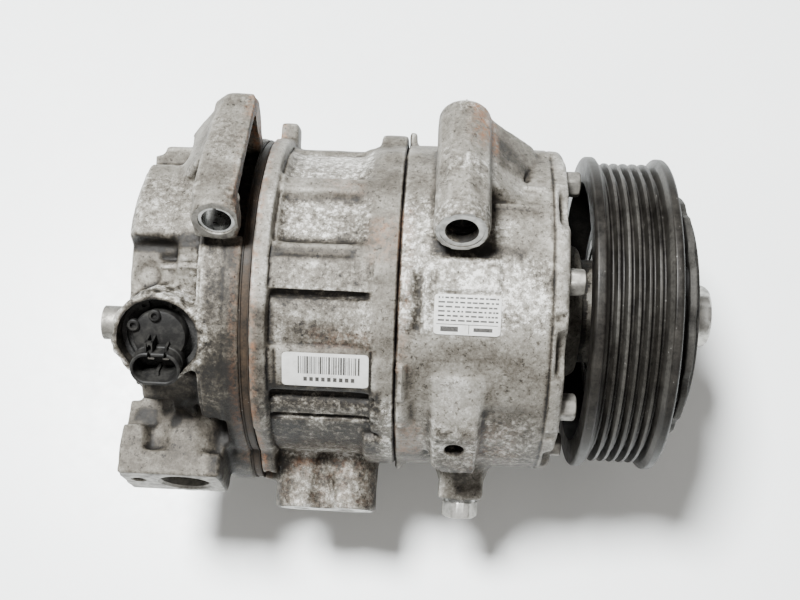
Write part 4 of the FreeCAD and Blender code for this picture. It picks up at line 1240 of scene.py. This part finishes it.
SHROUD_RINGS = [(54.5, 5), (54.7, 5.3), (58.4, 5.3), (58.7, 5.65), (60.3, 5.7), (60.6, 5.4),
                (63.4, 5.4), (63.7, 5.68), (64.6, 5.68), (64.95, 5.35), (64.95, 4.8), (64.6, 4.5),
                (56.2, 4.3), (55.9, 4)]
shroud = loft([oval(out, radius) for out, radius in SHROUD_RINGS])
cap_rings = [(0, 9.2), (0.3, 9.4), (4.4, 9.4), (5.2, 9), (5.5, 8.2)]
cap = post(*VALVE, 52.6, cap_rings, 72)
foot = post(VALVE_CLOCK, VALVE_X, -4.6, 52.7, [(0, 5.6), (1.9, 5.7)])
eyelets = [post(VALVE_CLOCK, VALVE_X + x, side, 57.2,
                [(0, 2.1), (1.7, 2.1), (2.1, 1.7), (2.1, 1.1), (1, 1), (1, 0.2)], 32)
           for x, side in ((-8.6, 3.9), (-1.2, 7.6))]


def beside(xs, sides, outs):
    """A box that leans with the shroud."""
    return loft([np.array([spot(VALVE_CLOCK, VALVE_X + x, slant(out) + side, out)
                           for x, side in corners_of(xs, sides)]) for out in outs])


latch = [beside((-3.6, -2.9), (5, 8.8), (56.5, 64.2)),
         beside((-1.5, -0.8), (5, 8.8), (56.5, 64.2)),
         beside((-3.6, -0.8), (7.4, 8.8), (62.2, 63.6))]
ribs = [beside((3, 3.8), (5, 6.6), (57, 63)),
        beside((-5.5, 5.5), (-4.6, -3.6), (55.8, 60.5)),
        beside((-0.5, 0.5), (-4.6, -2.6), (55.8, 61.5))]
simple_piece("plug_connector", [shroud, cap, foot, *eyelets, *latch, *ribs],
             BLACK_PLASTIC, "housing", "valve_connector", 30,
             [beside((-2.4, -1.2), (3.6, 8), (62.8, 66)),
              beside((3.2, 4.3), (3.2, 8), (62.8, 66))])


# ---- labels with plain printed bars

def sticker(x0, x1, start, end, radius):
    """A thin curved film with rounded corners."""
    inner, outer, corner = radius - 0.5, radius + 0.42, 1.3
    rings = []
    for t in np.linspace(0, 1, 44):
        angle = start + t * (end - start)
        edge = min(t, 1 - t) * math.radians(end - start) * outer
        inset = 0
        if edge < corner:
            inset = corner - math.sqrt(max(corner ** 2 - (corner - edge) ** 2, 0))
        rings.append(np.array([spot(angle, x, 0, out) for x, out in corners_of(
            (x0 + inset, x1 - inset), (inner, outer))]))
    return loft(rings)


def print_bars(name, bars, radius):
    parts = [shell(x0, x1, radius, radius + 0.05, a0, a1, 6) for x0, x1, a0, a1 in bars]
    finished(link(name, mesh_of(name, parts)), INK, "housing", [])


simple_piece("data_label", [sticker(12.5, 35.1, 13.3, 26, 61.4)], FILM, "housing",
             "name_label")
simple_piece("bar_label", [sticker(-38.9, -9.1, 34.6, 46.4, 60.2)], FILM, "housing",
             "barcode_label")
chance = np.random.default_rng(5)
bars, x = [], -33.4
while x < -11.6:
    width = float(chance.choice([0.24, 0.24, 0.42, 0.62]))
    bars.append((x, x + width, 35.6, 41.8))
    x += width + float(chance.choice([0.26, 0.34, 0.52]))
for index in range(9):
    x = -31.5 + index * 2.05
    bars.append((x, x + 1.25, 43, 44.5))
print_bars("bar_label_print", bars, 60.62)
bars = [(13.4, 34.2, 22.6, 22.8), (24.3, 24.5, 22.7, 25.6)]
bars += [(14.8, 20.8, 23.4, 25), (26, 32.4, 23.6, 24.8)]
for row in range(6):
    x, top = 13.8, 14.1 + row * 1.42
    while x < 33.6:
        width = float(chance.uniform(0.5, 2.4))
        bars.append((x, min(x + width, 34.2), top, top + 0.55))
        x += width + float(chance.uniform(0.3, 0.8))
print_bars("data_label_print", bars, 61.82)


# ---- edges of the pieces kept as they are

for node in ("valve_snap_ring", "control_valve_body", "relief_valve", "rear_lug_sleeve",
             "oil_plug_washer", "connector_pins", "head_gasket", "block_gasket", "valve_plate"):
    bevel = frame["nodes"][node].modifiers.new("Rounded", "BEVEL")
    bevel.width = 0.18 * MM
    bevel.segments = 2
    bevel.limit_method = "ANGLE"
    bevel.angle_limit = math.radians(40)


# ---- table, light and camera

def table():
    n = Nodes("white_table")
    smear = n.noise(0.006, 5, 0.6)
    dust = n.noise(0.12, 6, 0.7)
    colour = n.gradient(smear, [(0.30, (0.80, 0.825, 0.82)), (0.70, (0.86, 0.87, 0.865))])
    n.done(colour, n.span(dust, 0.3, 0.7, 0.28, 0.40), 0, n.bump(smear, 0.1, 0.4))
    mesh = bpy.data.meshes.new("table_top")
    reach = 3
    corners = [(x, y, 0) for x, y in corners_of((-reach, reach), (-reach, reach))]
    mesh.from_pydata(corners, [], [(0, 1, 2, 3)])
    mesh.materials.append(n.material)
    link("table_top", mesh)


def placed(name, data, axes, place):
    """Link a lamp or camera whose own axes are the columns of a table."""
    thing = link(name, data)
    rows = np.eye(4)
    rows[:3, :3], rows[:3, 3] = axes, place
    thing.matrix_world = Matrix(rows.tolist())
    return thing


def lamp(name, position, aim, width, energy, colour):
    light = bpy.data.lights.new(name, "AREA")
    light.shape = "DISK"
    light.size, light.energy, light.color = width, energy, colour
    toward = np.array(aim) - np.array(position)
    z = -toward / np.linalg.norm(toward)
    x = np.cross([0, 0, 1], z)
    x = x / np.linalg.norm(x)
    placed(name, light, np.column_stack([x, np.cross(z, x), z]), position)


def rotation(axis, angle):
    """A right-handed turn about x, y or z (0, 1 or 2), in degrees."""
    turn = math.radians(angle)
    i, j = (axis + 1) % 3, (axis + 2) % 3
    rows = np.eye(3)
    rows[i, i] = rows[j, j] = math.cos(turn)
    rows[i, j], rows[j, i] = -math.sin(turn), math.sin(turn)
    return rows


def camera():
    """The view is set by three turns of the object and its offset from the lens."""
    yaw, roll, lean = -1.871, -2.54, 16.98
    offset = np.array([1.10, -1.28, -439.1])
    facing = rotation(0, lean) @ (rotation(2, roll) @ rotation(1, yaw)).T
    data = bpy.data.cameras.new("view")
    data.lens = 50.4
    data.sensor_width = 36
    data.clip_start = 0.01
    bpy.context.scene.camera = placed("view", data, facing, SEAM + MM * (facing @ -offset))


table()
lamp("window", (-0.38, 0.30, 1.44), (0, 0, 0.05), 0.38, 106, (0.975, 0.995, 1))
lamp("room_fill", (0.35, -1.25, 1), (0, 0, 0.03), 1.1, 6, (1, 0.98, 0.95))
world = bpy.data.worlds.new("room")
bpy.context.scene.world = world
world.use_nodes = True
background = world.node_tree.nodes["Background"]
background.inputs["Color"].default_value = (1, 0.965, 0.92, 1)
background.inputs["Strength"].default_value = 0.33
camera()
